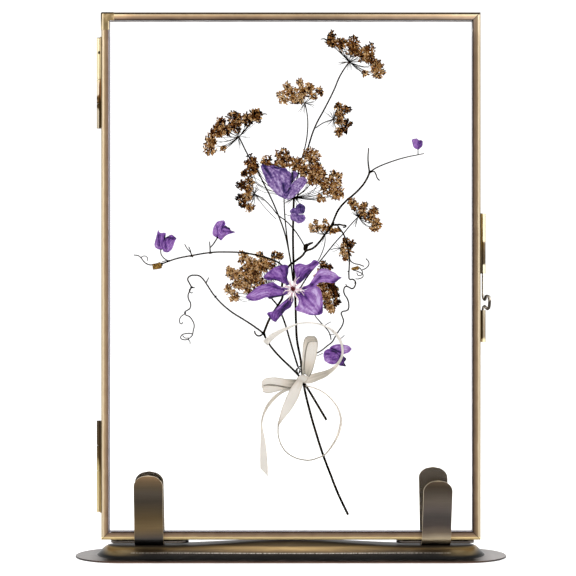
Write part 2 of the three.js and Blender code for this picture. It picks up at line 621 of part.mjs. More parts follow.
// Climbing stems with their tendrils: name and [route, start width, end width] runs.
const VINES = {
  vine_lower: [
    [[[326.5, 420], [317, 404], [307, 387.5], [299.5, 376.5], [292.5, 369], [280, 357],
      [269, 344], [263, 333.5], [255, 327], [246, 321], [229, 310], [215.5, 297], [206, 283.5],
      [200, 276.5], [196, 275], [190.5, 276], [188, 279], [190, 284], [192, 288]], 1.3, 0.7],
    [[[191.6, 286.6], [189.5, 290.5], [188, 296], [190.5, 303], [190, 308], [186, 311],
      [185, 314], [189.5, 316.5], [193, 322], [194, 328], [192.5, 335], [190, 338]], 0.45, 0.4],
    [[[186, 314.6], [180.5, 318], [179.6, 321.5], [181.5, 323.8], [183, 322]], 0.4, 0.35],
    [[[193.6, 332.6], [187, 334], [183, 337], [184.5, 339.8], [189, 339.6]], 0.4, 0.35],
    [[[191, 287.4], [194.5, 287.8]], 0.8, 0.5],
    [[[205.4, 284], [208.8, 277]], 0.4, 0.35],
    [[[263.8, 333.2], [258.5, 335.8], [255.3, 331.5]], 0.4, 0.35],
  ],
  vine_upper: [
    [[[264.5, 331], [270, 318], [278.5, 304.5], [282.5, 297], [282, 286], [284, 275],
      [289.5, 265.5], [296, 260.5], [302.5, 255.5], [306, 251], [312.5, 248.5], [319, 242.5],
      [324.5, 235], [330.5, 227.5], [332, 224.5], [335, 217], [338, 210.5], [346, 201],
      [352, 196], [358.5, 190], [365, 182], [370, 172]], 1.1, 0.8],
    [[[369.5, 173], [368, 160], [368.6, 148]], 0.6, 0.35],
    [[[370, 172], [376, 168], [389, 162.5], [407, 157], [416, 155.2], [424, 153.6]], 0.6, 0.35],
    [[[370, 172], [374, 174], [379, 181]], 0.6, 0.35],
    [[[418, 154.8], [418, 149]], 0.35, 0.35],
    [[[305.5, 250], [307, 245.5], [312, 243]], 1.4, 0.8],
    [[[332, 225], [337, 224.5], [345.5, 225.5]], 1.2, 0.6],
  ],
  vine_tendril: [
    [[[338.5, 227.5], [343, 233.5], [346, 241], [348.5, 250], [350, 259], [349, 269],
      [349.6, 279], [354, 281], [355, 285], [352, 288.5], [346, 288], [344, 292], [346, 298],
      [349, 304], [348, 310], [341.6, 312.6], [343, 319], [341, 326], [336, 334],
      [333.5, 338.5]], 0.8, 0.45],
    [[[350, 259], [351.5, 262], [355, 264.5], [361, 265], [367, 268.5], [369.5, 264],
      [368, 260], [364.5, 257.5]], 0.45, 0.35],
  ],
  vine_arch: [
    [[[283, 267], [281, 264.5], [272, 259.5], [260, 256], [245, 253], [223, 252], [211, 252.5],
      [192, 255.5], [177, 258.5], [169, 261], [161.5, 264]], 0.9, 0.6],
    [[[161.5, 264], [152, 265.2], [147, 264], [141, 259], [139, 256.5], [133, 255]], 0.45, 0.35],
    [[[161.5, 264.2], [152.5, 266.2]], 1.8, 2.4],
    [[[192, 255.5], [189.6, 248.6]], 0.4, 0.35],
    [[[191, 254], [186.5, 246.5]], 0.4, 0.35],
    [[[210.5, 252.5], [210.5, 247.3], [217, 239]], 0.5, 0.4],
    [[[210.3, 248], [209, 242.5]], 0.4, 0.35],
    [[[169, 261], [164, 258], [160.6, 254.5], [161, 248]], 0.45, 0.4],
  ],
};

function addVines() {
  for (const [name, runs] of Object.entries(VINES)) {
    const pieces = runs.map(([route, start, end]) => stem(route, start, end, LAYER.vine));
    add(name, toGeometry(fuse(pieces)), VINE);
  }
}

// The open clematis, its six tepals laid round the heart.
const CLEMATIS_HEART = { column: 293, row: 289, radius: 2.2 };
const CLEMATIS_TEPALS = {
  clematis_tepal_top_left: [
    [263.5, 276.8], [270.2, 270.8], [276.5, 266.6], [282.1, 264.8], [287.7, 265.5],
    [288.4, 272.5], [287.2, 277.5], [289.5, 284.5], [287, 285.6], [281.8, 282.6],
    [275.1, 280.2], [268, 280.2],
  ],
  clematis_tepal_top_right: [
    [294.4, 265.5], [299.6, 263.4], [306, 264.8], [310.9, 262.7], [313.7, 259.9],
    [317.2, 261], [318.9, 264.1], [313, 269], [308.8, 273.9], [303.9, 279.6],
    [298, 284.9], [296, 283.8], [295.6, 277], [294.8, 270],
  ],
  clematis_tepal_right: [
    [298.2, 287.8], [307.4, 285.2], [310.9, 281.8], [313.7, 277.2], [317.2, 271.8],
    [320.7, 269], [326.3, 268.8], [331.2, 271.1], [335.4, 273.2], [338.2, 276.2],
    [341.8, 277.5], [338.9, 279.6], [335.4, 282.4], [331.2, 283], [325.6, 282.2],
    [318.9, 282.8], [315.5, 286], [309.5, 287.6], [303.5, 290],
  ],
  clematis_tepal_bottom_right: [
    [297.5, 291.8], [303.2, 291.8], [310.2, 289], [314.4, 288], [317.9, 289.2], [320, 292.9],
    [322.5, 299.9], [322.8, 305.5], [322.5, 312.9], [318.6, 315], [310.2, 315],
    [304.6, 313.2], [295.4, 309.7], [298, 304.5], [298.4, 299], [295.4, 294],
  ],
  clematis_tepal_bottom: [
    [292, 293.8], [293.7, 299.9], [291.9, 304.1], [290.5, 307.3], [285.6, 310.4],
    [282.1, 314.6], [278.9, 318.2], [275.8, 322], [272.3, 320.3], [267.4, 314.6],
    [268, 312.3], [273, 311.1], [277.2, 307.6], [282.1, 302.7], [287.7, 298.3],
  ],
  clematis_tepal_left: [
    [288.8, 288.6], [279.3, 286], [275, 283.2], [272.5, 282], [268, 283.4], [259.6, 285.6],
    [252.6, 290.8], [245.6, 296.4], [247.7, 299.2], [253.3, 301], [259.6, 299.9],
    [266.7, 297.1], [269.5, 299.2], [273.7, 297.8], [282.1, 296.2], [287, 294.2], [289, 291.2],
  ],
};

// The half-open clematis higher up, seen from the side.
const HALF_TEPALS = {
  half_clematis_tepal_left: [
    [260.3, 167.1], [264.5, 164.1], [274.2, 165.9], [281.5, 168.3], [289.5, 170.8], [291, 181],
    [288, 185], [284.5, 187.5], [283, 192], [280.3, 197.4], [276.1, 194.4], [269.4, 188.3],
    [263.9, 179.2],
  ],
  half_clematis_tepal_middle: [
    [291, 172.2], [294.5, 171.5], [297.9, 173.2], [296, 178], [292.8, 181.2], [292, 178],
  ],
  half_clematis_tepal_right: [
    [292.5, 183], [297.2, 179.4], [303.3, 177.4], [307, 178.6], [305.8, 185.3],
    [301.5, 190.2], [296.7, 195], [289.4, 199.8], [285.8, 199.8], [284.8, 194], [287.5, 190],
    [289.5, 187],
  ],
};

// Small crumpled flowers: [layer, outline].
const SMALL_FLOWERS = {
  small_flower_centre: [LAYER.flower, [
    [299.7, 203.5], [304.5, 206.5], [305.8, 210.8], [304.5, 215], [306, 220.5], [299.7, 224.7],
    [294.8, 221.9], [290, 221], [291.2, 214.4], [289.4, 212], [293.6, 209.5], [296.7, 205.9],
  ]],
  small_flower_left: [LAYER.low, [
    [157.9, 229.6], [163.2, 233.9], [166, 237.2], [172.7, 235.3], [176.1, 238.7],
    [173.7, 243.9], [172.7, 248.7], [166, 253], [163.2, 250.6], [160.3, 248.7], [155, 245.8],
    [156.5, 239.1],
  ]],
  small_flower_upper_left: [LAYER.low, [
    [213.9, 224.8], [219.6, 220.5], [224.4, 221], [225.4, 225.7], [230.1, 227.7], [234.9, 232],
    [226.3, 235.8], [220.1, 241], [216.7, 238.2], [212.9, 235.8], [213.4, 230.5],
  ]],
  small_flower_right: [LAYER.low, [
    [412, 139], [417, 138], [423, 140.5], [422.5, 146], [418.5, 150], [414, 147.5], [412.5, 143],
  ]],
  small_flower_lower_right: [LAYER.flower, [
    [323.4, 351.5], [327.7, 346.3], [337.3, 344.4], [346.9, 344.4], [350.5, 348.2],
    [348.8, 353], [346.9, 358.7], [345.4, 366.8], [337.3, 364.9], [329.6, 363.5], [324.4, 360.6],
  ]],
};

const HALF_CLEMATIS_STALK = [[284, 197], [284.5, 212], [286.5, 233], [289.5, 256]];

function addFlowers() {
  for (const [name, outline] of Object.entries({ ...CLEMATIS_TEPALS, ...HALF_TEPALS })) {
    add(name, pressed(petalShape(outline), LAYER.flower), PETAL);
  }
  for (const [name, [layer, outline]] of Object.entries(SMALL_FLOWERS)) {
    add(name, pressed(petalShape(outline), layer), PETAL);
  }
  const { column, row, radius } = CLEMATIS_HEART;
  const [x, z] = place([column, row]);
  const heart = new THREE.SphereGeometry(radius, 12, 6);
  heart.scale(1, LAYER.flower.thickness / (2 * radius), 1);
  heart.translate(x, LAYER.flower.back - LAYER.flower.thickness / 2, z);
  add('clematis_heart', heart, HEART);
  const stalk = stem(HALF_CLEMATIS_STALK, 0.7, 0.8, LAYER.main, 8);
  const twig = stem([[284.5, 214], [291, 216]], 0.35, 0.35, LAYER.main, 1);
  add('half_clematis_stalk', toGeometry(fuse([stalk, twig])), VINE);
}

// ---------- ribbon ----------
// The satin ribbon as it shows from the front: runs of [column, row, width in mm].
const RIBBON_RUNS = [
  [[302, 376, 3.4], [304, 362, 4], [306.5, 347, 6], [309.5, 339, 7.6]],
  [[303, 377, 3], [288, 382, 5], [275, 385, 8], [266, 385.5, 7.4], [262.3, 385, 5]],
  [[303, 379.5, 4], [317, 376.5, 3.9], [328, 371.5, 2.7], [336, 365, 1.8], [341, 356, 1.6],
    [341.5, 345, 1.7], [337, 335.5, 1.6], [331, 329, 1], [323, 325, 0.8], [310, 322.3, 0.8],
    [296, 325, 1], [281, 331.5, 2.4], [266, 340.5, 4]],
  [[299, 382, 3], [291, 387, 2], [283, 389.5, 1.8], [274, 395, 1.9], [267.5, 402, 1.9],
    [263.5, 411, 1.4], [261.5, 424, 1], [262, 440, 2.8], [264, 456, 4], [264.3, 471, 4.4]],
  [[300, 381.5, 5.2], [292, 394, 4.8], [285, 406, 4.2], [280.5, 416, 2.8], [278.7, 425, 1.3],
    [279.5, 438, 0.8], [284.5, 447.5, 0.8], [293, 455.3, 0.8], [304, 459.8, 0.9],
    [313, 459.5, 0.9], [322, 456, 1.2], [331.5, 448, 1.5], [338, 437, 1.9], [340.3, 425.5, 2],
    [339.5, 415, 1.7], [336, 405, 1.1], [329, 396, 0.8], [320, 389.5, 0.8], [306, 384.5, 0.8]],
];
const RIBBON_KNOT = { column: 303, row: 379.7, width: 6, height: 5, thickness: 0.9, turn: -0.35 };

function addRibbon() {
  const pieces = RIBBON_RUNS.map((run) => {
    const route = run.map(([column, row, width]) => [...place([column, row]), width]);
    return pressed(stripShape(route, (run.length - 1) * 2), LAYER.ribbon);
  });
  const { column, row, width, height, thickness, turn } = RIBBON_KNOT;
  const [x, z] = place([column, row]);
  const knot = new THREE.SphereGeometry(1, 12, 6);
  knot.scale(width / 2, thickness / 2, height / 2);
  knot.rotateY(turn);
  knot.translate(x, LAYER.ribbon.back - LAYER.ribbon.thickness / 2 + 0.1, z);
  pieces.push(knot);
  add('satin_ribbon', toGeometry(fuse(pieces)), SATIN);
}

addStand();
CLIPS.forEach(addClip);
addLeaf('front', false);
addLeaf('back', true);
addCornerStrap();
HINGES.forEach(addHinge);
addLatch();
addSprays();
addVines();
addFlowers();
addRibbon();

export default group;
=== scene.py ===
# %% [markdown]
# # A pressed bouquet in a brass frame
# The real object is a keepsake frame. Wild carrot, clematis and a climbing stem were pressed,
# tied with a satin ribbon and laid between two panes. Each pane sits in a brass came frame, the
# two frames close like a book, and spring clips hold them upright on an oval stand. Its solids
# were made first, at their real size, and they load here as a fixed frame. This lesson dresses
# them: it draws the plants in fine mesh, smooths the stand and clips, and gives every surface
# the finish of its real material.

# %% Load the solids
import math
import random

import bpy
import numpy as np
from mathutils import Euler, Matrix, Vector, noise


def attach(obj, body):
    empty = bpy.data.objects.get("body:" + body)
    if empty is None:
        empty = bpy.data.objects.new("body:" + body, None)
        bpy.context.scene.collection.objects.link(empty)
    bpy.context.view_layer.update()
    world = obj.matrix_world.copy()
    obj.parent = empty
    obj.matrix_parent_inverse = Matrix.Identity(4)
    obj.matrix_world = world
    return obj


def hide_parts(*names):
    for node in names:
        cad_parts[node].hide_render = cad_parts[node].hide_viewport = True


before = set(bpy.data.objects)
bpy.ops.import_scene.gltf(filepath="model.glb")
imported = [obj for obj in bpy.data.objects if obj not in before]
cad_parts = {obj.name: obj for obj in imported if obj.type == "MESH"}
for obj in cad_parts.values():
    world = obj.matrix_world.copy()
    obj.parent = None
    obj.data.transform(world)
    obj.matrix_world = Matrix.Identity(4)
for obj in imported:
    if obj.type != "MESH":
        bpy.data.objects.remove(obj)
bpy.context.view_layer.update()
MM = 0.001
PANES_X, PANES_Z = -1.7, 156.3  # mm, the middle of the view and of the plants

# %% [markdown]
# ## The camera and the light
# The frame is looked at square on, from about a metre, with the lens level with the middle of
# the panes. Brass shows its shape only by what it mirrors, so the room is a white studio that is
# dim behind the camera: edges that turn to the sides catch the white, and faces that look at the
# camera stay deep. A pale floor runs back to a white wall.

# %% Camera, floor and lights
def select_only(*chosen):
    bpy.ops.object.select_all(action="DESELECT")
    for one in chosen:
        one.select_set(True)
    bpy.context.view_layer.objects.active = chosen[0]


CAMERA_AWAY = 991
LIT_POINT = Vector((0, 0, 0.15))

bpy.ops.object.camera_add(location=(PANES_X * MM, -CAMERA_AWAY * MM, PANES_Z * MM),
                          rotation=(math.pi / 2, 0, 0))
camera = bpy.context.object
camera.data.sensor_width = 36
camera.data.lens = 106.12
camera.data.clip_start = 0.01
bpy.context.scene.camera = camera
bpy.context.scene.view_settings.view_transform = "Standard"

bpy.ops.mesh.primitive_plane_add(size=6, location=(0, 0, -0.0003))
floor = bpy.context.object
floor.name = "floor"

SOFTBOXES = {  # name: place, power in watts, width, height
    "key": ((-0.75, -0.8, 0.75), 8.5, 0.5, 0.9),
    "fill": ((0.85, -0.7, 0.5), 6.5, 0.5, 0.9),
    "top": ((0, -0.1, 1.1), 3.5, 0.9, 0.4),
}
for name, (spot, power, width, height) in SOFTBOXES.items():
    bpy.ops.object.light_add(type="AREA", location=spot)
    softbox = bpy.context.object
    softbox.name = name
    softbox.data.shape = "RECTANGLE"
    softbox.data.size = width
    softbox.data.size_y = height
    softbox.data.energy = power
    softbox.rotation_euler = (LIT_POINT - Vector(spot)).to_track_quat("-Z", "Y").to_euler()
print("softboxes:", list(SOFTBOXES))

# %% [markdown]
# ## Building a material
# Every finish below is a small graph of nodes. One helper adds a node, sets it and links it, so
# that each material reads as a list. Colours are written as the hex values a painter would mix,
# and one function turns them into the linear values that the shader works with.


# %% Helpers for materials
def linear(hex_colour):
    """An sRGB hex value as linear RGBA."""
    parts = [int(hex_colour[i : i + 2], 16) / 255 for i in (1, 3, 5)]
    return (*[p / 12.92 if p <= 0.04045 else ((p + 0.055) / 1.055) ** 2.4 for p in parts], 1)


def add_node(tree, kind, *values, ramp=None, **settings):
    """Adds a node with its settings and links. A dot in kind sets the operation. Values go to the
    inputs in turn, or a dict names them. A node among them stands for the first output in use."""
    kind, _, operation = kind.partition(".")
    made = tree.nodes.new("ShaderNode" + kind)
    if operation:
        settings["operation"] = operation
    for key, value in settings.items():
        setattr(made, key, value)
    inputs = values[0] if values and isinstance(values[0], dict) else dict(enumerate(values))
    for key, value in inputs.items():
        if isinstance(value, bpy.types.Node):
            value = next(socket for socket in value.outputs if socket.enabled)
        if isinstance(value, bpy.types.NodeSocket):
            tree.links.new(value, made.inputs[key])
        else:
            made.inputs[key].default_value = value
    if ramp:
        while len(made.color_ramp.elements) < len(ramp):
            made.color_ramp.elements.new(1)
        for element, (place_on_ramp, shade) in zip(made.color_ramp.elements, ramp):
            element.position = place_on_ramp
            element.color = linear(shade)
    return made


def start_material(name):
    material = bpy.data.materials.new(name)
    material.use_nodes = True
    material.node_tree.nodes.clear()
    return material, material.node_tree


def per_mm(size):
    """The noise scale whose blotches are about so many millimetres wide."""
    return 1 / (size * MM)


def coats(tree, shade, *layers):
    """Lays coats over a shade. Each is how much of it lies where, and its hex colour."""
    for amount, colour in layers:
        shade = add_node(tree, "Mix", {0: amount, 6: shade, 7: linear(colour)}, data_type="RGBA")
    return shade


def finish_surface(tree, inputs):
    skin = add_node(tree, "BsdfPrincipled", inputs)
    add_node(tree, "OutputMaterial", {"Surface": skin})


print("helpers ready, mid grey is", [round(v, 3) for v in linear("#808080")])

# %% [markdown]
# The room is the first graph. It glows white all round and darkens behind the camera, and the
# floor is a matt white paint that glows a little too, so that it meets the wall without a line.

# %% World and floor paint
world = bpy.data.worlds.new("white studio")
bpy.context.scene.world = world
world.use_nodes = True
sky = world.node_tree
sky.nodes.clear()
direction = add_node(sky, "TexCoord").outputs["Generated"]
axes = add_node(sky, "SeparateXYZ", direction).outputs
behind_camera = add_node(sky, "Math.MULTIPLY", axes["Y"], -1.0)
# The dark end of the room only shades and is mirrored: looked at, also through glass, it is white.
light_path = add_node(sky, "LightPath").outputs
bounces = add_node(sky, "Math.ADD", light_path["Diffuse Depth"], light_path["Glossy Depth"])
looked_at = add_node(sky, "Math.LESS_THAN", bounces, 0.5)
dark_end = add_node(sky, "Math.SUBTRACT", behind_camera, looked_at)
studio = add_node(sky, "ValToRGB", dark_end, ramp=[
    (0.0, "#ffffff"), (0.45, "#f2f2f2"), (0.8, "#8a8784"), (0.95, "#22201f")])
glow = add_node(sky, "Background", {"Color": studio, "Strength": 1.18})
add_node(sky, "OutputWorld", {"Surface": glow})

floor_paint, tree = start_material("matt_white_studio_floor")
finish_surface(tree, {"Base Color": linear("#f4f4f4"), "Roughness": 0.9,
                      "Emission Color": linear("#ffffff"), "Emission Strength": 0.25})
floor.data.materials.append(floor_paint)
print("world and floor ready")

# %% [markdown]
# ## Antique brass came
# The bars are folded from thin brass strip and darkened in a bath. Handling and polishing then
# rub the outer edges bright again, while the patina stays deep beside the glass. So the colour
# follows the distance from the frame's outer edge, partly as that wear and partly as a painted
# highlight on the outer edge and painted shade towards the glass. Soft blotches break it up
# along the bar.

# %% Came brass and the soldered corner
FRAME_HALF_WIDTH = 110.25 * MM
FRAME_HALF_HEIGHT = 153.25 * MM
FRAME_MIDDLE = 163.25 * MM
BAR_FACE = 4.4 * MM
STRAP_LEFT, STRAP_TOP = -110.38, 316.4  # mm, shared with the strap's outline below


def brass_finish(tree, colour, roughness, relief, grain, bare=1.0, oxide_gloss=0.12):
    """Metal with its roughness broken up and a low bump. Where bare is low, a matt coat covers it: dark
    oxide in some places, painted light and shade in others.
    """
    uneven = add_node(tree, "MapRange", grain, 0.0, 1.0, roughness - 0.07, roughness + 0.12)
    bump = add_node(tree, "Bump", {"Strength": 0.5, "Distance": relief * MM, "Height": grain})
    finish_surface(tree, {"Base Color": colour, "Metallic": bare, "Roughness": uneven,
                          "Specular IOR Level": oxide_gloss, "Normal": bump})


came_brass, tree = start_material("antique_brass_came")
spot = add_node(tree, "TexCoord").outputs["Object"]
axes = add_node(tree, "SeparateXYZ", spot).outputs
from_side = add_node(tree, "Math.SUBTRACT", FRAME_HALF_WIDTH,
                     add_node(tree, "Math.ABSOLUTE", axes["X"]))
height = add_node(tree, "Math.SUBTRACT", axes["Z"], FRAME_MIDDLE)
from_end = add_node(tree, "Math.SUBTRACT", FRAME_HALF_HEIGHT, add_node(tree, "Math.ABSOLUTE", height))
inwards = add_node(tree, "Math.DIVIDE", add_node(tree, "Math.MINIMUM", from_side, from_end), BAR_FACE)
blotches = add_node(tree, "TexNoise", {"Vector": spot, "Scale": per_mm(7), "Detail": 3.0})
wobble = add_node(tree, "Math.MULTIPLY_ADD", blotches, 0.24, -0.12)
# Partly wear and partly painted light: a painted highlight near the outer edge, painted shade and patina
# deeper towards the glass.
rubbed_and_highlit = add_node(tree, "ValToRGB", add_node(tree, "Math.ADD", inwards, wobble), ramp=[
    (0.07, "#9d8b6b"), (0.2, "#b5a68d"), (0.33, "#beae91"), (0.46, "#a2896b"), (0.6, "#937c60"),
    (0.73, "#806b56"), (0.86, "#695648"), (1.0, "#5a4b3f")])
# Walls beside the glass are black with oxide in the front leaf, except on the left side. In the
# back leaf and on the left side they are bare metal coloured pale, partly as a painted reflection
# of the white room, and high in the back leaf they are painted near white as light from the floor.
faces = add_node(tree, "SeparateXYZ", add_node(tree, "NewGeometry").outputs["Normal"]).outputs
sideways = add_node(tree, "Math.LESS_THAN", add_node(tree, "Math.ABSOLUTE", faces["Y"]), 0.4)
is_wall = add_node(tree, "Math.MULTIPLY", sideways, add_node(tree, "Math.GREATER_THAN", inwards, 0.6))
in_front = add_node(tree, "Math.LESS_THAN", axes["Y"], -1 * MM)
oxide = add_node(tree, "Math.MULTIPLY", is_wall, in_front)
oxide = add_node(tree, "Math.MULTIPLY", oxide,
                 add_node(tree, "Math.GREATER_THAN", axes["X"], -104.5 * MM))
# Painted light: the back leaf's walls near the top are painted near white.
high_wall_painted_light = add_node(tree, "Math.MULTIPLY", is_wall, add_node(tree, "Math.SUBTRACT", 1.0, in_front))
high_wall_painted_light = add_node(tree, "Math.MULTIPLY", high_wall_painted_light,
                     add_node(tree, "Math.GREATER_THAN", height, 140 * MM))
# Painted highlight along the bottom bar's lower edge, where it faces the floor, and painted shade along the
# top bar's upper edge.
low_rim_painted_highlight = add_node(tree, "Math.LESS_THAN", height, -151.5 * MM)
top_rim_painted_shade = add_node(tree, "Math.GREATER_THAN", height, 151.78 * MM)
# A painted highlight runs along the top bar's upper edge. It is strongest beside the strap and by the right
# corner, which is also painted paler.
patches = add_node(tree, "TexNoise", {"Vector": spot, "Scale": per_mm(45), "Detail": 1.0})
top_highlight_band = add_node(tree, "Math.MULTIPLY", add_node(tree, "Math.GREATER_THAN", height, 148.9 * MM),
                  add_node(tree, "Math.SUBTRACT", 1.0, top_rim_painted_shade))
top_highlight_band = add_node(tree, "Math.MULTIPLY", top_highlight_band,
                  add_node(tree, "Math.GREATER_THAN", from_side, from_end))
top_highlight = add_node(tree, "Math.MULTIPLY", add_node(tree, "MapRange", patches, 0.35, 0.65, 0.88, 1.12),
                  add_node(tree, "MapRange", axes["X"], 20 * MM, 100 * MM, 0.97, 1.5))
top_highlight = add_node(tree, "Math.MULTIPLY", top_highlight,
                  add_node(tree, "MapRange", height, 149.7 * MM, 151.2 * MM, 0.95, 1.5))
top_highlight = add_node(tree, "Math.MULTIPLY", top_highlight,
                  add_node(tree, "MapRange", axes["X"], -99 * MM, -88 * MM, 1.45, 1.0))
on_right = add_node(tree, "Math.GREATER_THAN", axes["X"], add_node(tree, "Math.ADD", height, -43 * MM))
corner_highlight = add_node(tree, "Math.MULTIPLY", on_right,
                     add_node(tree, "MapRange", height, 132 * MM, 152 * MM, 0.0, 0.4))
pale_top_highlight = add_node(tree, "Math.MULTIPLY", top_highlight_band,
                    add_node(tree, "MapRange", axes["X"], -20 * MM, 110 * MM, 0.0, 0.16))
painted_pale_highlight = add_node(tree, "Math.MAXIMUM", add_node(tree, "Math.MULTIPLY", corner_highlight, 0.4), pale_top_highlight)
highlight_gain = add_node(tree, "Math.MULTIPLY_ADD", top_highlight_band, add_node(tree, "Math.SUBTRACT", top_highlight, 1.0),
                 add_node(tree, "Math.ADD", corner_highlight, 1.0))
# The right bar is darker towards the glass, and the mitres show as hair lines.
right_bar = add_node(tree, "Math.MULTIPLY", add_node(tree, "Math.GREATER_THAN", axes["X"], 0.0),
                     add_node(tree, "Math.LESS_THAN", from_side, from_end))
right_bar_darkening = add_node(tree, "Math.MULTIPLY_ADD", right_bar,
                  add_node(tree, "MapRange", inwards, 0.2, 0.45, -0.08, -0.3), 1.0)
from_mitre = add_node(tree, "Math.ABSOLUTE", add_node(tree, "Math.SUBTRACT", from_side, from_end))
off_mitre = add_node(tree, "Math.GREATER_THAN", from_mitre, 0.26 * MM)
seam = add_node(tree, "Math.MULTIPLY_ADD", off_mitre, 0.62, 0.38)
shade = coats(tree, rubbed_and_highlit, (is_wall, "#b9b3bb"), (oxide, "#1d1714"), (top_rim_painted_shade, "#3a2f24"),
              (low_rim_painted_highlight, "#e2c993"), (painted_pale_highlight, "#b9ab9a"), (high_wall_painted_light, "#f4f0f0"))
covered = add_node(tree, "Math.MAXIMUM", oxide, top_rim_painted_shade)
covered = add_node(tree, "Math.MAXIMUM", covered, add_node(tree, "Math.MULTIPLY", low_rim_painted_highlight, 0.75))
covered = add_node(tree, "Math.MAXIMUM", covered, high_wall_painted_light)
strength = add_node(tree, "Math.MULTIPLY", seam, highlight_gain)
strength = add_node(tree, "Math.MULTIPLY", strength, right_bar_darkening)
shade = add_node(tree, "VectorMath.SCALE", {0: shade, "Scale": strength})
brass_finish(tree, shade, 0.5, 0.05, blotches, add_node(tree, "Math.SUBTRACT", 1.0, covered),
             oxide_gloss=0.0)

solder_brass, tree = start_material("soldered_brass_strap")
spot = add_node(tree, "TexCoord").outputs["Object"]
axes = add_node(tree, "SeparateXYZ", spot).outputs
blotches = add_node(tree, "TexNoise", {"Vector": spot, "Scale": per_mm(4), "Detail": 3.0})
tarnish = add_node(tree, "ValToRGB", blotches, ramp=[
    (0.32, "#7c6a4c"), (0.48, "#877452"), (0.58, "#957f5b"), (0.7, "#b8a27b")])
from_top = add_node(tree, "Math.SUBTRACT", STRAP_TOP * MM, axes["Z"])
from_left = add_node(tree, "Math.SUBTRACT", axes["X"], STRAP_LEFT * MM)
# Its outer edges are painted dark as shade, and painted highlights run beside the left fold and over the
# part by the glass.
by_glass = add_node(tree, "Math.MULTIPLY", add_node(tree, "Math.GREATER_THAN", from_left, 4.3 * MM),
                    add_node(tree, "Math.GREATER_THAN", from_top, 5.2 * MM))
by_fold = add_node(tree, "Math.LESS_THAN", from_left, 1.6 * MM)
painted_highlights = add_node(tree, "Math.MULTIPLY", add_node(tree, "Math.MAXIMUM", by_fold, by_glass), 0.7)
top_line = add_node(tree, "Math.MULTIPLY", add_node(tree, "Math.LESS_THAN", from_top, 1.0 * MM),
                    add_node(tree, "MapRange", from_left, 5 * MM, 8 * MM, 1.0, 0.7))
left_line = add_node(tree, "Math.MULTIPLY", add_node(tree, "Math.LESS_THAN", from_left, 0.75 * MM),
                     add_node(tree, "MapRange", from_top, 4 * MM, 9 * MM, 1.0, 0.5))
left_line = add_node(tree, "Math.MULTIPLY", left_line,
                     add_node(tree, "MapRange", axes["Y"], -4.2 * MM, -5.2 * MM))
painted_dark_edges = add_node(tree, "Math.MAXIMUM", top_line, left_line)
shade = coats(tree, tarnish, (painted_highlights, "#e6d5b2"), (painted_dark_edges, "#241a10"))
brass_finish(tree, shade, 0.5, 0.12, blotches, add_node(tree, "Math.SUBTRACT", 1.0, painted_dark_edges),
             oxide_gloss=0.0)
print("came brass and solder mixed")

# %% [markdown]
# ## Bright brass and dark brass
# The hinges and the latch are drawn tube and wire, left almost bright, with grey-brown bath stain
# between, and bands of painted highlight and painted shade along them. The stand and its clips
# went through the bath longest. They were rubbed along their length with fine abrasive, which
# leaves hair lines, and the ends of the flange and the lips of the clips wore lighter. Up their
# height, painted shade darkens the hollows and bends, and painted highlights lie on the stand's
# shoulder.

# %% Hinge, stand and clip brass
HOLE_X, HOLE_Z = -111.5 * MM, 293.5 * MM

bright_brass, tree = start_material("drawn_bright_brass")
spot = add_node(tree, "TexCoord").outputs["Object"]
axes = add_node(tree, "SeparateXYZ", spot).outputs
wander = add_node(tree, "TexNoise", {"Vector": spot, "Scale": per_mm(6), "Detail": 2.0,
                                     "Distortion": 0.5})
height = add_node(tree, "MapRange", axes["Z"], 0.0, 320 * MM)
up_frame = add_node(tree, "Math.ADD", height, add_node(tree, "Math.MULTIPLY_ADD", wander, 0.05, -0.025))
# Each tube is coloured with a lit side and a shaded side, partly bath stain and partly painted
# highlight and painted shade. shade_reach is how far across the tube the shaded side reaches, in
# grey, for each height.
across = add_node(tree, "MapRange", add_node(tree, "Math.ABSOLUTE", axes["X"]), 110.3 * MM, 113.5 * MM)
shade_reach = add_node(tree, "ValToRGB", up_frame, ramp=[
    (0.08, "#b0b0b0"), (0.15, "#a0a0a0"), (0.18, "#c8c8c8"), (0.2, "#ffffff"), (0.25, "#ffffff"),
    (0.39, "#808080"), (0.4, "#bcbcbc"), (0.44, "#b8b8b8"), (0.52, "#b8b8b8"), (0.534, "#c0c0c0"),
    (0.54, "#f8f8f8"), (0.562, "#e8e8e8"), (0.572, "#b4b4b4"), (0.62, "#a8a8a8"), (0.78, "#b8b8b8"),
    (0.81, "#bababa"), (0.822, "#ffffff"), (0.836, "#f0f0f0"), (0.842, "#bcbcbc"), (0.865, "#b4b4b4"),
    (0.872, "#646464"), (0.94, "#707070")])
shaded_side = add_node(tree, "MapRange", {"Value": add_node(tree, "Math.SUBTRACT", shade_reach, across),
                                        "From Min": -0.1, "From Max": 0.12},
                     interpolation_type="SMOOTHSTEP")
stains_and_shade = add_node(tree, "ValToRGB", up_frame, ramp=[
    (0.1, "#9a8456"), (0.18, "#4a3a22"), (0.25, "#40362a"), (0.39, "#6e5630"), (0.41, "#463a26"),
    (0.55, "#4e4232"), (0.572, "#6a5228"), (0.62, "#7c6238"), (0.78, "#46361c"), (0.83, "#3c2e18"),
    (0.842, "#7a5632"), (0.866, "#86603a"), (0.875, "#ab9870"), (0.94, "#bba57e")])
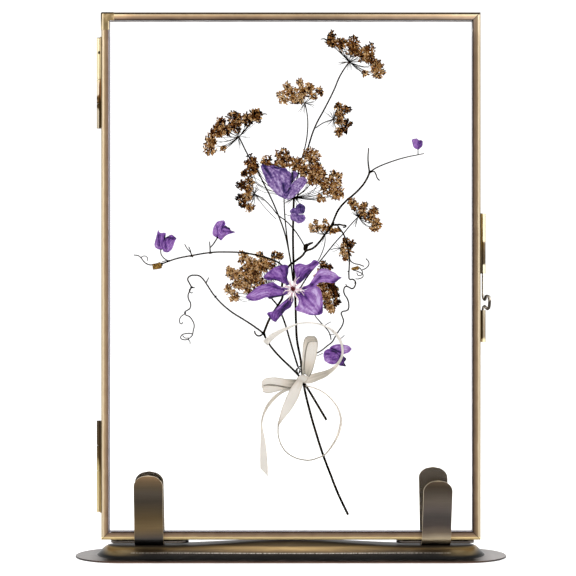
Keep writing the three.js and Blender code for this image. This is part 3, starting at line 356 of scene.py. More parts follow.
bands_and_highlights = add_node(tree, "ValToRGB", up_frame, ramp=[
    (0.08, "#c0b08a"), (0.16, "#a8986c"), (0.185, "#6a5a40"), (0.25, "#4a4035"), (0.39, "#e2d4ae"),
    (0.405, "#8a7c68"), (0.44, "#a0947e"), (0.53, "#e8dcc0"), (0.542, "#6a6054"), (0.565, "#84786a"),
    (0.575, "#e6d8b4"), (0.62, "#e8dab6"), (0.78, "#a89c88"), (0.815, "#a89c88"), (0.822, "#453a2e"),
    (0.836, "#453a2e"), (0.842, "#c4b8a4"), (0.866, "#cabda6"), (0.872, "#ccbf9c"), (0.94, "#d2c7a8")])
# The upper hinge's oil hole is ringed with painted shadow, and the top end of its tube is darker.
aside = add_node(tree, "Math.SUBTRACT", axes["X"], HOLE_X)
above = add_node(tree, "Math.SUBTRACT", axes["Z"], HOLE_Z)
squares = add_node(tree, "Math.ADD", add_node(tree, "Math.MULTIPLY", aside, aside),
                   add_node(tree, "Math.MULTIPLY", above, above))
from_hole = add_node(tree, "Math.SQRT", squares)
hole_shadow = add_node(tree, "Math.MULTIPLY",
                      add_node(tree, "MapRange", from_hole, 0.8 * MM, 1.05 * MM, 1.0, 0.0),
                      add_node(tree, "MapRange", axes["Y"], -1.6 * MM, -1.5 * MM))
hole_shadow = add_node(tree, "Math.MULTIPLY", hole_shadow,
                      add_node(tree, "Math.LESS_THAN", axes["Y"], -0.6 * MM))
tube_end = add_node(tree, "Math.GREATER_THAN", axes["Z"], 301.85 * MM)
dark_shade = add_node(tree, "Math.MAXIMUM", hole_shadow, add_node(tree, "Math.MULTIPLY", tube_end, 0.7))
shade = add_node(tree, "Mix", {0: shaded_side, 6: bands_and_highlights, 7: stains_and_shade}, data_type="RGBA")
shade = coats(tree, shade, (dark_shade, "#2a1e0c"))
# Painted shade: each tube darkens towards its outer edge.
edge_shade = add_node(tree, "MapRange", across, 0.86, 0.97, 1.0, 0.62)
shade = add_node(tree, "VectorMath.SCALE", {0: shade, "Scale": edge_shade})
brass_finish(tree, shade, 0.5, 0.03, wander, add_node(tree, "Math.SUBTRACT", 1.0, dark_shade),
             oxide_gloss=0.0)

wire_brass, tree = start_material("dark_brass_wire")
spot = add_node(tree, "TexCoord").outputs["Object"]
axes = add_node(tree, "SeparateXYZ", spot).outputs
cloudy = add_node(tree, "TexNoise", {"Vector": spot, "Scale": per_mm(2.5)})
stained = add_node(tree, "ValToRGB", cloudy, ramp=[
    (0.35, "#2e2a26"), (0.5, "#57504a"), (0.64, "#b5ab9c")])
lit_side = add_node(tree, "Math.MULTIPLY", add_node(tree, "Math.GREATER_THAN", axes["X"], 112.08 * MM),
                    add_node(tree, "Math.GREATER_THAN", axes["Z"], 152.6 * MM))
brass_finish(tree, coats(tree, stained, (lit_side, "#e4dccc")), 0.24, 0.02, cloudy)


def hair_lines(tree, spot, stretch):
    """Fine rubbed lines along X, the more drawn out the smaller the stretch."""
    drawn_out = add_node(tree, "Mapping", {"Vector": spot, "Scale": (stretch, 1.0, 1.0)})
    return add_node(tree, "TexNoise", {"Vector": drawn_out, "Scale": per_mm(0.6)})


def ramp_up(tree, spot, axes, top, shades):
    """Colours up the height, from the ground to top millimetres, shifted a little by a noise."""
    height = add_node(tree, "MapRange", axes["Z"], 0.0, top * MM)
    uneven = add_node(tree, "TexNoise", {"Vector": spot, "Scale": per_mm(16)})
    return add_node(tree, "ValToRGB",
                    add_node(tree, "Math.ADD", height,
                             add_node(tree, "Math.MULTIPLY_ADD", uneven, 0.06, -0.03)), ramp=shades)


# Up the stand, its oxide colour with painted light: a brown rim, a black cove painted as shade, a thin
# bright break, then the olive shoulder with a painted highlight, and the ridge.
stand_brass, tree = start_material("dark_brass_stand")
spot = add_node(tree, "TexCoord").outputs["Object"]
axes = add_node(tree, "SeparateXYZ", spot).outputs
lines = hair_lines(tree, spot, 0.02)
outwards = add_node(tree, "Math.ABSOLUTE", axes["X"])
shaded_section = ramp_up(tree, spot, axes, 8, [
    (0.0, "#6a4c3a"), (0.07, "#4a3a32"), (0.12, "#0d0c0b"), (0.3, "#0f0e0d"), (0.5, "#26221f"),
    (0.6, "#4b3e2e"), (0.7, "#6a583d"), (0.8, "#9a8158"), (0.88, "#a2885c"), (0.95, "#604f36"),
    (1.0, "#564832")])
# Where the shoulder starts, a thin painted highlight runs in short dashes.
along_x = add_node(tree, "Mapping", {"Vector": spot, "Scale": (1, 0, 0)})
glint_dashes = add_node(tree, "TexNoise", {"Vector": along_x, "Scale": per_mm(1.3)})
from_shoulder = add_node(tree, "Math.ABSOLUTE", add_node(tree, "Math.SUBTRACT", axes["Z"], 4.15 * MM))
painted_glint = add_node(tree, "Math.MULTIPLY", add_node(tree, "Math.LESS_THAN", from_shoulder, 0.2 * MM),
                add_node(tree, "MapRange", glint_dashes, 0.36, 0.6, 0.05, 0.36))
painted_glint = add_node(tree, "Math.MULTIPLY", painted_glint, add_node(tree, "Math.LESS_THAN", outwards, 92 * MM))
# The flat of the ridge is painted dark as the frame's shadow, and towards each end a painted highlight lies
# on the shoulder.
faces = add_node(tree, "SeparateXYZ", add_node(tree, "NewGeometry").outputs["Normal"]).outputs
level_face = add_node(tree, "MapRange", faces["Z"], 0.93, 0.99)
ridge_shadow = add_node(tree, "Math.MULTIPLY", level_face,
                    add_node(tree, "Math.GREATER_THAN", axes["Z"], 6 * MM))
end_highlight = add_node(tree, "Math.MULTIPLY",
                      add_node(tree, "MapRange", outwards, 84 * MM, 101 * MM, 0.0, 0.6),
                      add_node(tree, "MapRange", outwards, 110 * MM, 104 * MM))
end_highlight = add_node(tree, "Math.MULTIPLY", end_highlight,
                      add_node(tree, "MapRange", axes["Z"], 2.4 * MM, 5.0 * MM))
end_highlight = add_node(tree, "Math.MULTIPLY", end_highlight,
                      add_node(tree, "MapRange", axes["Z"], 6.7 * MM, 5.9 * MM))
# The ends of the flange are worn pale, with a painted sheen that is brighter on the right and at the front,
# above a dark rim.
at_ends = add_node(tree, "MapRange", outwards, 104 * MM, 117 * MM)
dark_rim = add_node(tree, "Math.MULTIPLY", at_ends,
                    add_node(tree, "Math.LESS_THAN", axes["Z"], 0.74 * MM))
worn = add_node(tree, "Math.MULTIPLY", at_ends, add_node(tree, "Math.LESS_THAN", axes["Z"], 1.3 * MM))
worn = add_node(tree, "Math.MULTIPLY", worn, add_node(tree, "Math.GREATER_THAN", axes["Z"], 0.74 * MM))
shaded_section = coats(tree, shaded_section, (painted_glint, "#d8d0c4"), (ridge_shadow, "#241e17"), (end_highlight, "#a08a5e"),
                (dark_rim, "#1c1512"))
# Painted sheen: brighter on the right and at the front.
painted_sheen = add_node(tree, "Math.MULTIPLY",
                 add_node(tree, "MapRange", axes["X"], -120 * MM, 120 * MM, 0.95, 1.3),
                 add_node(tree, "MapRange", axes["Y"], -20 * MM, 10 * MM, 1.2, 0.92))
worn_metal = add_node(tree, "VectorMath.SCALE", {0: linear("#78726f")[:3], "Scale": painted_sheen})
shade = add_node(tree, "Mix", {0: worn, 6: shaded_section, 7: worn_metal}, data_type="RGBA")
shade = add_node(tree, "VectorMath.SCALE", {0: shade,
                                            "Scale": add_node(tree, "MapRange", lines, 0.3, 0.7, 0.88,
                                                              1.1)})
off_ridge_shadow = add_node(tree, "Math.SUBTRACT", 1.0, add_node(tree, "Math.MULTIPLY", ridge_shadow, 0.8))
bare = add_node(tree, "Math.MULTIPLY",
                add_node(tree, "MapRange", axes["Z"], 2.5 * MM, 4.2 * MM, 0.1, 1.0), off_ridge_shadow)
bare = add_node(tree, "Math.MAXIMUM", worn, bare)
brass_finish(tree, shade, 0.34, 0.02, lines, bare, oxide_gloss=0.04)

# Up a clip, partly painted shade: a black bend in shade, olive, a darker band, a brown lip and a worn pale
# edge.
clip_brass, tree = start_material("dark_brass_clip")
spot = add_node(tree, "TexCoord").outputs["Object"]
axes = add_node(tree, "SeparateXYZ", spot).outputs
lines = hair_lines(tree, spot, 0.04)
left_clip = ramp_up(tree, spot, axes, 52, [
    (0.14, "#34363c"), (0.19, "#3a3a3c"), (0.27, "#584c3d"), (0.33, "#62523a"), (0.45, "#4c3f2c"),
    (0.54, "#41382b"), (0.63, "#37312a"), (0.72, "#433c34"), (0.79, "#493f32"), (0.86, "#5b4b38"),
    (0.93, "#7c6248")])
right_clip = ramp_up(tree, spot, axes, 52, [
    (0.14, "#3c3c3c"), (0.165, "#a89c86"), (0.2, "#a0927a"), (0.27, "#60554a"), (0.35, "#423b38"),
    (0.45, "#3e3a37"), (0.54, "#4d4642"), (0.63, "#524a42"), (0.72, "#403932"), (0.79, "#383027"),
    (0.85, "#4a3e32")])
right_half = add_node(tree, "Math.GREATER_THAN", axes["X"], 0.0)
shaded_section = add_node(tree, "Mix", {0: right_half, 6: left_clip, 7: right_clip}, data_type="RGBA")
behind = add_node(tree, "Math.GREATER_THAN", axes["Y"], 0.0)
pale_rim = add_node(tree, "Math.MULTIPLY",
                    add_node(tree, "Attribute", attribute_name="rim").outputs["Fac"], 0.75)
shade = coats(tree, shaded_section, (behind, "#6a5e4f"), (pale_rim, "#d9c6a4"))
bare = add_node(tree, "Math.MULTIPLY_ADD", behind, -0.6, 1.0)
shade = add_node(tree, "VectorMath.SCALE", {0: shade,
                                            "Scale": add_node(tree, "MapRange", lines, 0.3, 0.7, 0.93,
                                                              1.06)})
brass_finish(tree, shade, 0.36, 0.02, lines, bare)

arm_brass, tree = start_material("rubbed_brass_arm")
lines = hair_lines(tree, add_node(tree, "TexCoord").outputs["Object"], 0.04)
shade = add_node(tree, "ValToRGB", lines, ramp=[(0.3, "#2e2a27"), (0.7, "#5d5650")])
brass_finish(tree, shade, 0.16, 0.01, lines)
print("stand and clip brass mixed")

# %% [markdown]
# ## Float glass
# Picture glass is two millimetres thick and clear. It needs no texture: its index of refraction
# makes the faint reflections, and the coating of museum glass keeps them down face on.

# %% Glass for the panes
pane_glass, tree = start_material("clear_float_glass")
finish_surface(tree, {"Base Color": linear("#ffffff"), "Roughness": 0.0, "IOR": 1.5,
                      "Transmission Weight": 1.0, "Specular Tint": linear("#404040")})

# The pins inside the hinge tubes are painted black, as the shade seen through the oil hole.
black_pin, tree = start_material("hinge_pin_painted_shade_black")
spot = add_node(tree, "TexCoord").outputs["Object"]
grain = add_node(tree, "TexNoise", {"Vector": spot, "Scale": per_mm(0.8)})
dark_shade = add_node(tree, "ValToRGB", grain, ramp=[(0.3, "#0d0a06"), (0.7, "#241a0e")])
brass_finish(tree, dark_shade, 0.6, 0.01, grain, bare=0.0, oxide_gloss=0.05)

FINISHES = {
    came_brass: ("front_bar", "back_bar"),
    bright_brass: ("hinge", "latch"),
    pane_glass: ("front_glass", "back_glass"),
}
dressed = 0
for material, starts in FINISHES.items():
    for node_name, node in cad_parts.items():
        if node_name.startswith(starts):
            node.data.materials.clear()
            node.data.materials.append(black_pin if node_name.endswith("_pin") else material)
            dressed += 1
print("solids dressed:", dressed)

# %% [markdown]
# ## Squared paper
# The bouquet was laid out on squared paper, 0.584 mm to a square, columns to the right and rows
# down. Pressed pieces that cross lie in thin layers, one in front of another, so every plant
# piece below is drawn on the paper and then pressed into its layer.

# %% Paper, layers and tubes
SQUARE_MM = 0.584
SQUARE = SQUARE_MM * MM
CENTRE = 288
LAYERS = {  # front face and back face in mm
    "ribbon": (-1.85, -1.2), "flower": (-1.1, -0.5), "main": (-0.4, 0.2),
    "side": (0.3, 0.75), "vine": (0.85, 1.3), "low": (1.4, 1.8),
}
ROOT = "frame_on_stand"


def place(column, row):
    """X and Z of a point on the paper."""
    return PANES_X * MM + (column - CENTRE) * SQUARE, PANES_Z * MM - (row - CENTRE) * SQUARE


def on_paper(x, z):
    """Column and row of a point in mm."""
    return CENTRE + (x - PANES_X) / SQUARE_MM, CENTRE - (z - PANES_Z) / SQUARE_MM


def press_into(piece, layer):
    """Squeezes a piece's depth into its layer between the panes."""
    front, back = (depth * MM for depth in LAYERS[layer])
    depths = [v.co.y for v in piece.data.vertices]
    low, high = min(depths), max(depths)
    ratio = min(1.0, (back - front) / max(high - low, 1e-9))
    middle, target = (low + high) / 2, (front + back) / 2
    for v in piece.data.vertices:
        v.co.y = target + (v.co.y - middle) * ratio
    piece.data.update()


def draw_tubes(name, routes, material, roundness=1, resolution=4):
    """Thin stems: each route is points (column, row, depth), a start and an end width in mm."""
    drawing = bpy.data.curves.new(name, "CURVE")
    drawing.dimensions = "3D"
    drawing.bevel_depth = 1 * MM
    drawing.bevel_resolution = roundness
    drawing.resolution_u = resolution
    drawing.use_fill_caps = True
    for points, start, end in routes:
        run = drawing.splines.new("BEZIER")
        run.bezier_points.add(len(points) - 1)
        for i, (knot, point) in enumerate(zip(run.bezier_points, points)):
            x, z = place(*point[:2])
            knot.co = (x, point[2] * MM if len(point) > 2 else 0, z)
            knot.radius = (start + (end - start) * i / (len(points) - 1)) / 2
            knot.handle_left_type = knot.handle_right_type = "AUTO"
    piece = bpy.data.objects.new(name, drawing)
    bpy.context.collection.objects.link(piece)
    select_only(piece)
    bpy.ops.object.convert(target="MESH")
    piece = bpy.context.object
    piece.data.materials.clear()
    piece.data.materials.append(material)
    bpy.ops.object.shade_smooth()
    return piece


def settle(piece, slot, *nodes, body=ROOT):
    """A finished piece: its place goes into its mesh, and it rides where its solids did."""
    select_only(piece)
    bpy.ops.object.transform_apply(location=True, rotation=True, scale=True)
    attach(piece, body)
    if nodes:
        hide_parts(*nodes)
    return piece


def join(name, *pieces):
    select_only(*pieces)
    if len(pieces) > 1:
        bpy.ops.object.join()
    pieces[0].name = name
    pieces[0].data.name = name
    return pieces[0]


def weld(gap=0.00001):
    """Joins the chosen mesh's points that meet, and turns its faces outwards."""
    bpy.ops.object.mode_set(mode="EDIT")
    bpy.ops.mesh.select_all(action="SELECT")
    bpy.ops.mesh.remove_doubles(threshold=gap)
    bpy.ops.mesh.normals_make_consistent(inside=False)
    bpy.ops.object.mode_set(mode="OBJECT")


def thicken(sheet, thickness):
    """Gives a sheet its thickness, half of it to each side."""
    skin = sheet.modifiers.new("thickness", "SOLIDIFY")
    skin.thickness = thickness
    skin.offset = 0
    bpy.ops.object.modifier_apply(modifier=skin.name)


def soften(piece, width, segments, sharper_than=30):
    """Rounds the edges that turn by more than so many degrees."""
    edge = piece.modifiers.new("edge", "BEVEL")
    edge.width = width * MM
    edge.segments = segments
    edge.limit_method = "ANGLE"
    edge.angle_limit = math.radians(sharper_than)
    bpy.ops.object.modifier_apply(modifier=edge.name)


def paint(piece, name, numbers):
    """Stores a number on each of the mesh's points."""
    piece.data.attributes.new(name, "FLOAT", "POINT").data.foreach_set("value", numbers)


print("paper square in mm:", SQUARE_MM)

# %% [markdown]
# ## The soldered strap
# One corner was mended with a small L of brass sheet, folded over the edge and soldered flat. A
# circle's corners are moved onto its outline, and the face is then given depth and soft edges.

# %% Corner strap
RIGHT, BOTTOM = -102.6, 306.1
ARM_X, ARM_Z = -105.6, 311.8
FACE_Y, FOLD_DEPTH = -5.1, 2.2
OUTER_ROUND, INNER_ROUND = 0.9, 0.7


def corner(x, z, radius, start):
    """Points in mm round a quarter circle, from the start angle in quarter turns."""
    turns = [(start + t / 4) * math.pi / 2 for t in range(5)]
    return [(x + radius * math.cos(a), z + radius * math.sin(a)) for a in turns]


outline = (corner(STRAP_LEFT + OUTER_ROUND, STRAP_TOP - OUTER_ROUND, OUTER_ROUND, 1)[::-1]
           + [(RIGHT, STRAP_TOP), (RIGHT, ARM_Z)]
           + corner(ARM_X + INNER_ROUND, ARM_Z - INNER_ROUND, INNER_ROUND, 1)
           + [(ARM_X, BOTTOM), (STRAP_LEFT, BOTTOM)])
bpy.ops.mesh.primitive_circle_add(vertices=len(outline), radius=1, fill_type="NGON")
strap = bpy.context.object
for v, (x, z) in zip(strap.data.vertices, outline):
    v.co = (x * MM, FACE_Y * MM, z * MM)
weld()
thicken(strap, FOLD_DEPTH * MM)
soften(strap, 0.45, 3)
bpy.ops.object.shade_smooth_by_angle(angle=math.radians(40))
strap.name = "soldered_strap"
strap.data.materials.append(solder_brass)
settle(strap, "soldered_brass", "front_corner_strap")
print("strap faces:", len(strap.data.polygons))

# %% [markdown]
# ## Dried plant matter
# A dried stem is nearly black with fine lengthwise ribs. Dried florets run from tobacco brown to
# pale straw at their tips. How far each floret has browned, together with painted shade on the
# florets that lie deep behind the rays, is stored on its mesh as a number called tone, and the
# material only turns tone into colour.

# %% Stem, vine and floret materials


def dry_matter(name, shades, grain_mm, bump_mm, gloss=0.15, tone_from=None):
    """Dry, matt plant skin: a ramp read by noise, or by the tone painted on the mesh."""
    material, tree = start_material(name)
    spot = add_node(tree, "TexCoord").outputs["Object"]
    grain = add_node(tree, "TexNoise", {"Vector": spot, "Scale": per_mm(grain_mm), "Detail": 4.0})
    level = grain
    if tone_from:
        tone = add_node(tree, "Attribute", attribute_name=tone_from).outputs["Fac"]
        level = add_node(tree, "Math.ADD", tone, add_node(tree, "Math.MULTIPLY_ADD", grain, 0.3, -0.15))
    colour = add_node(tree, "ValToRGB", level, ramp=shades)
    bump = add_node(tree, "Bump", {"Strength": 0.6, "Distance": bump_mm * MM, "Height": grain})
    finish_surface(tree, {"Base Color": colour, "Roughness": 0.85,
                          "Specular IOR Level": gloss, "Normal": bump})
    return material


dried_stem = dry_matter("dried_carrot_stem", [(0.35, "#0a0604"), (0.65, "#20140a")], 0.8, 0.05, gloss=0.04)
dried_vine = dry_matter("dried_vine_bark", [(0.35, "#0e0a06"), (0.65, "#281d12")], 0.6, 0.06, gloss=0.04)
dried_husk = dry_matter("dried_leaf_husk", [(0.35, "#5c3d18"), (0.65, "#a5803f")], 0.7, 0.08)
dried_floret = dry_matter("dried_carrot_floret", [
    (0.02, "#1a0a03"), (0.2, "#3c1d09"), (0.4, "#683c17"), (0.6, "#936330"), (0.8, "#bb8d57"),
    (1.0, "#e2c092")], 0.9, 0.04, gloss=0.05, tone_from="tone")
print("plant materials mixed")

# %% [markdown]
# ## Wild carrot umbels
# An umbel is an umbrella of thin rays, and each ray ends in a small umbellet of star-shaped
# florets and long young fruits. Two stars are modelled from a circle, a bud and a fruit from an
# icosphere. Every umbellet then gets its own copies, strung along short spokes, tipped this way
# and that and joined into one mesh.

# %% One floret and one bud


def star_floret(points, notch):
    """A dried floret: a circle whose every second corner is drawn in, cupped and given thickness."""
    bpy.ops.mesh.primitive_circle_add(vertices=2 * points, radius=1, fill_type="TRIFAN",
                                      rotation=(math.pi / 2, 0, 0))
    star = bpy.context.object
    bpy.ops.object.transform_apply(rotation=True)
    for v in star.data.vertices:
        turn = round(math.atan2(v.co.z, v.co.x) / (math.pi / points))
        if v.co.length < 0.1:
            v.co.y = -0.05
        elif turn % 2:
            v.co *= notch
            v.co.y = -0.18
        else:
            v.co.y = -0.32
    thicken(star, 0.22)
    return star


def bud(wide, long):
    """A bud, or a young fruit where it is long: a rounded grain."""
    bpy.ops.mesh.primitive_ico_sphere_add(subdivisions=1, radius=0.5)
    small = bpy.context.object
    bpy.ops.transform.resize(value=(wide, wide, long))
    bpy.ops.object.transform_apply(scale=True)
    return small


def take_pattern(made):
    """The points, faces and tone of a small model: dark in its middle, pale at its tips."""
    points = np.array([v.co[:] for v in made.data.vertices])
    faces = [tuple(f.vertices) for f in made.data.polygons]
    reach = np.linalg.norm(points[:, [0, 2]], axis=1)
    bpy.data.objects.remove(made)
    return points, faces, reach - 0.55


STAR, CROSS = take_pattern(star_floret(5, 0.38)), take_pattern(star_floret(4, 0.34))
BUD, FRUIT = take_pattern(bud(0.8, 1.25)), take_pattern(bud(0.85, 2.6))
PATTERNS = (STAR, CROSS, BUD, FRUIT)
print("faces in each pattern:", [len(p[1]) for p in PATTERNS])

# %% [markdown]
# The heads are drawn on the squared paper: the hub where the rays meet, then each umbellet's
# column, row, radius and tone. Two heads are mirror images of two others, lower on the left.

# %% Heads drawn on the paper
HEADS = {
    "a": ((349, 62), [
        (332, 37.5, 5, 0.34), (331, 43, 5.5, 0.36), (340.5, 44.5, 6.5, 0.4), (353, 43.5, 7, 0.34),
        (353, 51, 6.5, 0.36), (368, 50, 6.5, 0.42), (361.5, 55, 5.5, 0.4), (369, 57.5, 6.5, 0.44),
        (377, 66, 7, 0.62), (378, 73.5, 6, 0.6), (365, 73.5, 3, 0.75)]),
    "b": ((305, 103), [
        (287.5, 86.5, 4, 0.75), (281, 95, 4, 0.8), (283.5, 100, 4, 0.8), (292, 92.5, 5.5, 0.72),
        (293.5, 99.5, 4.5, 0.72), (300.5, 82, 3.5, 0.8), (302, 91.5, 6, 0.66), (300, 98.5, 4.5, 0.72),
        (310.5, 88, 5, 0.66), (313, 96, 4, 0.62), (319.5, 90.5, 4, 0.5)]),
    "c": ((333.5, 119), [
        (338.5, 106.5, 4, 0.6), (346.5, 109.5, 4.5, 0.12), (340, 114, 5, 0.62), (347.5, 123, 4, 0.1),
        (340.5, 121.5, 5, 0.55), (345, 129, 4, 0.12), (339, 132, 4.5, 0.62)]),
    "e": ((294, 198), [
        (252, 162, 6.5, 0.38), (253, 170, 6.5, 0.22), (244, 174, 4, 0.35), (266.5, 163, 6, 0.48),
        (283.5, 157, 8, 0.42), (280, 165, 6, 0.45), (296, 164, 7, 0.5), (311, 156.5, 8, 0.62),
        (303.5, 170, 7, 0.5), (318, 171, 8, 0.55), (312, 178.5, 6.5, 0.5), (335, 180, 8, 0.65),
        (322.5, 181.5, 6.5, 0.5), (337, 194, 7, 0.62), (328.5, 190, 6, 0.5), (321, 199, 4, 0.8)]),
    "f": ((358, 217), [
        (351.5, 202, 4.5, 0.46), (355.5, 205.5, 4.5, 0.52), (363.5, 207, 5, 0.48), (362, 212, 4, 0.46),
        (373.5, 212, 5, 0.56), (369, 216, 4.5, 0.58), (373, 219.5, 4.5, 0.58), (376, 224, 5, 0.68),
        (374, 228.5, 4, 0.68)]),
    "g": ((325, 234.5), [
        (316, 222, 2.4, 0.76), (311, 226, 2.6, 0.82), (312, 230, 2.6, 0.8), (325, 221.5, 2.3, 0.8),
        (318, 227.5, 3.7, 0.74), (323.5, 227.5, 3.8, 0.7), (330.5, 228, 3.5, 0.64),
        (332.5, 231, 2.9, 0.6), (337.5, 230, 2.2, 0.55)]),
    "h": ((340, 248.5), [
        (346, 241.5, 3.8, 0.6), (351, 244.5, 4, 0.22), (343.5, 247.5, 4.2, 0.6), (349, 252, 3.5, 0.3),
        (344, 253, 4.2, 0.64), (346, 257, 3.5, 0.64)]),
    "i": ((266, 291), [
        (244, 257.5, 6, 0.72), (230.5, 272, 6, 0.72), (228, 289.5, 5, 0.75), (235, 297, 5.5, 0.75),
        (237.5, 274.5, 5.5, 0.66), (237.5, 284, 6, 0.68), (246.5, 270.5, 6.5, 0.62),
        (245.5, 281.5, 7, 0.62), (247.5, 289, 5.5, 0.66), (253.5, 264, 7, 0.6), (254, 275, 7, 0.58),
        (258.5, 281.5, 5.5, 0.6), (260, 254.5, 3.5, 0.7), (262, 267, 6, 0.58), (264, 260, 5, 0.6),
        (270, 264.5, 5, 0.6), (275, 255.5, 4.5, 0.5), (280, 256.5, 3.5, 0.5)]),
    "j": ((313, 300), [
        (321.5, 285, 4.5, 0.55), (330, 285, 5, 0.15), (324, 291.5, 5.5, 0.55), (333.5, 289, 4.5, 0.1),
        (326.5, 297, 5.5, 0.6), (335, 295, 4.5, 0.12), (336, 302, 4.5, 0.15), (328, 304, 5, 0.6),
        (331, 309.5, 4.5, 0.65)]),
}


ACROSS, LOWER = 588, 75  # a head's mirror image: its columns from here, and so many rows lower


def mirrored(head):
    (column, row), heads = head
    turned = [(ACROSS - c, r + LOWER, size, tone) for c, r, size, tone in heads]
    return (ACROSS - column, row + LOWER), turned


HEADS["d"] = mirrored(HEADS["a"])
HEADS["k"] = mirrored(HEADS["c"])
HEADS["j_buds"] = ((329, 274), [
    (323.5, 265.5, 4.5, 0.3), (329, 267.5, 3, 0.2), (319, 271, 2.2, 0.5), (316.5, 276, 2.3, 0.55),
    (314, 281, 1.9, 0.5)])
print("umbellets drawn:", sum(len(h[1]) for h in HEADS.values()))

# %% Rays, bracts and florets of a head
ONE_RAY = "ghb"  # heads with a single ray to each umbellet, the others have three
FEW_BRACTS = "gh"
SPOKES, FLORETS = 1.7, 2.6  # spokes to a square of radius, florets to a square of radius squared
IN_FRONT = 0.45  # the share of florets in front of the rays


def bent_ray(hub, tip, axis, bow):
    """Three points of a ray that leaves the hub wide and bends over towards the head's top."""
    run = tip - hub
    outwards = run - axis * run.dot(axis)
    return [hub, hub + run * 0.42 + outwards * bow, tip]


def head_routes(name, hub, umbellets, chance):
    """The thin routes of one head: rays, the little stalks of florets, and hanging bracts."""
    hub = Vector(hub)
    middle = sum((Vector(u[:2]) for u in umbellets), Vector((0, 0))) / len(umbellets)
    axis = (middle - hub).normalized()
    routes = []
    for column, row, radius, tone in umbellets:
        centre = Vector((column, row))
        back = (hub - centre).normalized()
        foot = centre + back * radius * 0.55
        aside = Vector((-back.y, back.x)) * radius * 0.5
        for shift, bow, start, end in ((0, 0.25, 0.36, 0.3), (1, 0.45, 0.26, 0.22), (-1, 0.05, 0.26, 0.22)):
            if shift and name in ONE_RAY:
                continue
            routes.append((bent_ray(hub, foot + aside * shift, axis, bow), start, end))
        for k in range(7):
            spread = Matrix.Rotation(math.radians(chance.uniform(-75, 75)), 2)
            end = foot - spread @ back * radius * chance.uniform(0.7, 1.25)
            routes.append(([foot, (foot + end) / 2 + back * 0.3, end], 0.32, 0.24))
    for k in range(4 if name in FEW_BRACTS else 12):
        side = 1 if k % 2 else -1
        away = Matrix.Rotation(math.radians(side * chance.uniform(78, 150)), 2) @ axis
        length = chance.uniform(5, 12)
        droop = hub + away * length * 0.55 - axis * chance.uniform(0, 0.8)
        routes.append(([hub, droop, hub + away * length - axis * chance.uniform(0.5, 2.5)], 0.32, 0.16))
    return [([(*p, chance.uniform(-0.12, 0.12)) for p in points], start, end)
            for points, start, end in routes]


def floret_cloud(name, umbellets, chance):
    """All florets of a head as one mesh, with their tone painted on its points."""
    points, faces, tones = [], [], []
    for column, row, radius, tone in umbellets:
        spokes = max(6, round(radius * SPOKES))
        first = chance.uniform(0, math.tau)
        lengths = [radius * chance.uniform(0.6, 1.25) for _ in range(spokes)]
        count = max(20, round(radius * radius * FLORETS))
        for k in range(count):
            spoke = k % spokes
            share = math.sqrt(chance.uniform(0.02, 1))
            in_front = chance.random() < IN_FRONT
            stray = 0.13 if in_front else 0.36
            turn = first + math.tau * spoke / spokes + chance.gauss(0, stray / (0.3 + share))
            reach = lengths[spoke] * share
            x, z = place(column + reach * math.cos(turn), row + reach * math.sin(turn))
            pattern, mesh_faces, shade = chance.choice((STAR, STAR, CROSS, FRUIT, FRUIT, BUD))
            size = SQUARE * (chance.uniform(0.8, 1.4) if in_front else chance.uniform(1.5, 2.4))
            roll = turn + math.pi / 2 + chance.gauss(0, 0.5)
            tip = Euler((chance.uniform(-0.6, 0.6), roll, chance.uniform(-0.6, 0.6)))
            turned = pattern @ np.array(tip.to_matrix()).T * size
            turned[:, 1] *= 0.4
            depth = chance.uniform(-0.22, -0.05) if in_front else chance.uniform(0, 0.2)
            start = len(points)
            points.extend(turned + (x, depth * MM, z))
            faces.extend(tuple(start + i for i in face) for face in mesh_faces)
            # Florets behind the rays get painted shade, darker deep in the umbellet; those far out on the
            # spokes are paler.
            own = tone + chance.gauss(0, 0.22) + (0.11 if in_front else -0.46) + 0.4 * (share - 0.6)
            tones.extend(np.clip(own + shade * 0.4, 0, 1))
    mesh = bpy.data.meshes.new(name)
    mesh.from_pydata([tuple(p) for p in points], [], faces)
    mesh.materials.append(dried_floret)
    cloud = bpy.data.objects.new(name, mesh)
    paint(cloud, "tone", tones)
    bpy.context.collection.objects.link(cloud)
    return cloud


chance = random.Random(4)
trial = head_routes("a", *HEADS["a"], chance)
print("routes in the first head:", len(trial))

# %% [markdown]
# Each spray is its head or heads and the stalks that carry them. A stalk was round and the press
# made it oval. Nearly half of a spray's florets lie in front of its rays, the others behind.

